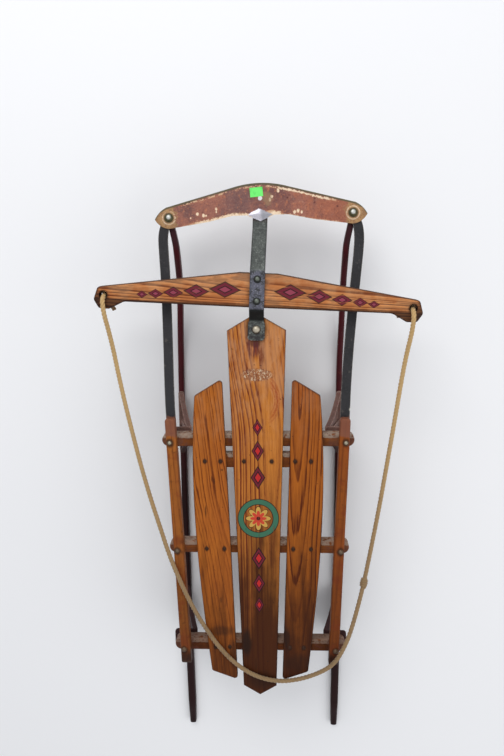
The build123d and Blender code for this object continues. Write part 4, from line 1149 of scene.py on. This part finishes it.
class SLED_OT_fasteners(bpy.types.Operator):
    """Finishes the bolts, the strap's pin and the deck rivets, with a painted highlight on each bolt's dome
    and painted shade round it
    """

    bl_idname = "sled.fasteners"
    bl_label = "Bolts and Rivets"

    def execute(self, context):
        # Each bolt gets a painted highlight on its dome, set toward the lit side; the middle and rear rail
        # bolts get less of it, as painted shade.
        rails = [
            ((side * x, y + 0.0008), 0.0029, highlight_share)
            for side in (-1, 1) for x, y, highlight_share in zip(RAIL_BOLTS, BENCH_ROWS, (1.0, 0.2, 0.15))
        ]
        end_bolts = ("bumper_bolt_left", "bumper_bolt_right")
        bumper = [((x, y + 0.0014), 0.0039, 1.0) for x, y in map(middle, end_bolts)]
        for name, chart, dirt, metal, nodes, highlights in (
            ("rail_bolt_plating", dye(158, 152, 132), dye(84, 60, 40), 0.5, ("rail_bolts",), rails),
            ("bumper_bolt_plating", dye(196, 196, 190), dye(84, 80, 54), 0.6, end_bolts, bumper),
            ("pivot_bolt_plating", dye(186, 176, 156), dye(74, 64, 52), 0.5, ("pivot_bolt",),
             [((PIVOT.x, PIVOT.y + 0.001), 0.0058, 1.0)]),
            ("bar_bolt_plating", dye(112, 118, 108), dye(44, 46, 42), 0.5,
             ("steering_bar_bolts", "strap_pin"),
             [(strap_place(reach + 0.001), 0.0034, 0.8) for reach in (0.0465, 0.0805)]),
            ("stained_rivets", dye(62, 42, 32), dye(28, 18, 14), 0.0,
             ("deck_rivets_front", "deck_rivets_middle", "deck_rivets_rear"), []),
        ):
            finish = Finish(name)
            cloud = finish.noise(190, 4)
            fine = finish.noise(900, 3)
            x, y = finish.place.split()[:2]
            dirt_and_shade = cloud.mixed(fine, 0.3).rise(0.45, 0.68) * 0.7
            # Outside each highlight the dome is darker: dirt and painted shade.
            for n, (centre, reach, highlight_share) in enumerate(highlights):
                rim_grime_and_shade = ellipse(x, y, centre, (reach, reach)).astray(fine, 0.9).rise(0.6, 1.15)
                rim_grime_and_shade = rim_grime_and_shade * highlight_share + (1.0 - highlight_share)
                dirt_and_shade = dirt_and_shade.least(rim_grime_and_shade) if n else rim_grime_and_shade
            tint = finish.tone(chart).under(dirt, dirt_and_shade)
            roughness, shine = 0.28 + cloud * 0.3, 0.4 if highlights else 0.08
            material = finish.settle(tint, roughness, metal, height=fine, depth=0.0001, specular=shine)
            for node in nodes:
                wear(node, material)
        return {"FINISHED"}


class SLED_OT_tag(bpy.types.Operator):
    """Sticks the blank green tag on the bumper"""

    bl_idname = "sled.tag"
    bl_label = "Blank Tag"

    def execute(self, context):
        tag = context.scene.sled_tag
        top, lift, thickness, askew = 0.11, 0.00022, 0.00012, 0.09
        paper = bmesh.new()
        bmesh.ops.create_grid(paper, x_segments=12, y_segments=9, size=0.5)
        bmesh.ops.scale(paper, vec=(tag.width, tag.height, 1), verts=paper.verts)
        for corner in paper.verts:
            curl = max(0.0, corner.co.x / tag.width + corner.co.y / tag.height - 0.62)
            corner.co.z += curl * 0.004
        bmesh.ops.solidify(paper, geom=paper.faces[:], thickness=thickness)
        place = Matrix.Translation((0.0012, 0.5030, top + lift)) @ Matrix.Rotation(askew, 4, "Z")
        bmesh.ops.transform(paper, matrix=place, verts=paper.verts)
        bmesh.ops.recalc_face_normals(paper, faces=paper.faces)
        finish = Finish("green_paper")
        crease = finish.noise(160, 3)
        tint = finish.tone(tag.paper).under(dye(86, 204, 92), crease.rise(0.45, 0.75) * 0.6)
        piece = piece_from(paper, "blank_tag", finish.settle(tint, 0.55, height=crease))
        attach(piece, "front")
        return {"FINISHED"}


OPERATORS = (
    SLED_OT_stage, SLED_OT_tow_rope, SLED_OT_deck, SLED_OT_benches_and_rails, SLED_OT_steering_bar,
    SLED_OT_runners, SLED_OT_knees, SLED_OT_bumper, SLED_OT_strap, SLED_OT_fasteners, SLED_OT_tag,
)


class SLED_PT_sled(bpy.types.Panel):
    """Lists the sled's pieces and their sizes and colours"""

    bl_idname = "SLED_PT_sled"
    bl_label = "Runner Sled"
    bl_space_type = "VIEW_3D"
    bl_region_type = "UI"
    bl_category = "Sled"

    def draw(self, context):
        for operator in OPERATORS:
            self.layout.operator(operator.bl_idname)
        for group in GROUPS:
            box = self.layout.box()
            settings = getattr(context.scene, group)
            for name in settings.bl_rna.properties.keys():
                if name not in ("rna_type", "name"):
                    box.prop(settings, name)


GROUPS = {
    "sled_wood": SledWood, "sled_paint": SledPaint, "sled_rope": SledRope, "sled_tag": SledTag,
    "sled_stage": SledStage,
}


def register():
    for cls in (*GROUPS.values(), *OPERATORS, SLED_PT_sled):
        bpy.utils.register_class(cls)
    for name, group in GROUPS.items():
        setattr(bpy.types.Scene, name, PointerProperty(type=group))


def unregister():
    for name in GROUPS:
        delattr(bpy.types.Scene, name)
    for cls in (SLED_PT_sled, *OPERATORS, *GROUPS.values()):
        bpy.utils.unregister_class(cls)


def main():
    register()
    for operator in OPERATORS:
        family, name = operator.bl_idname.split(".")
        getattr(getattr(bpy.ops, family), name)()


if __name__ == "__main__":
    main()
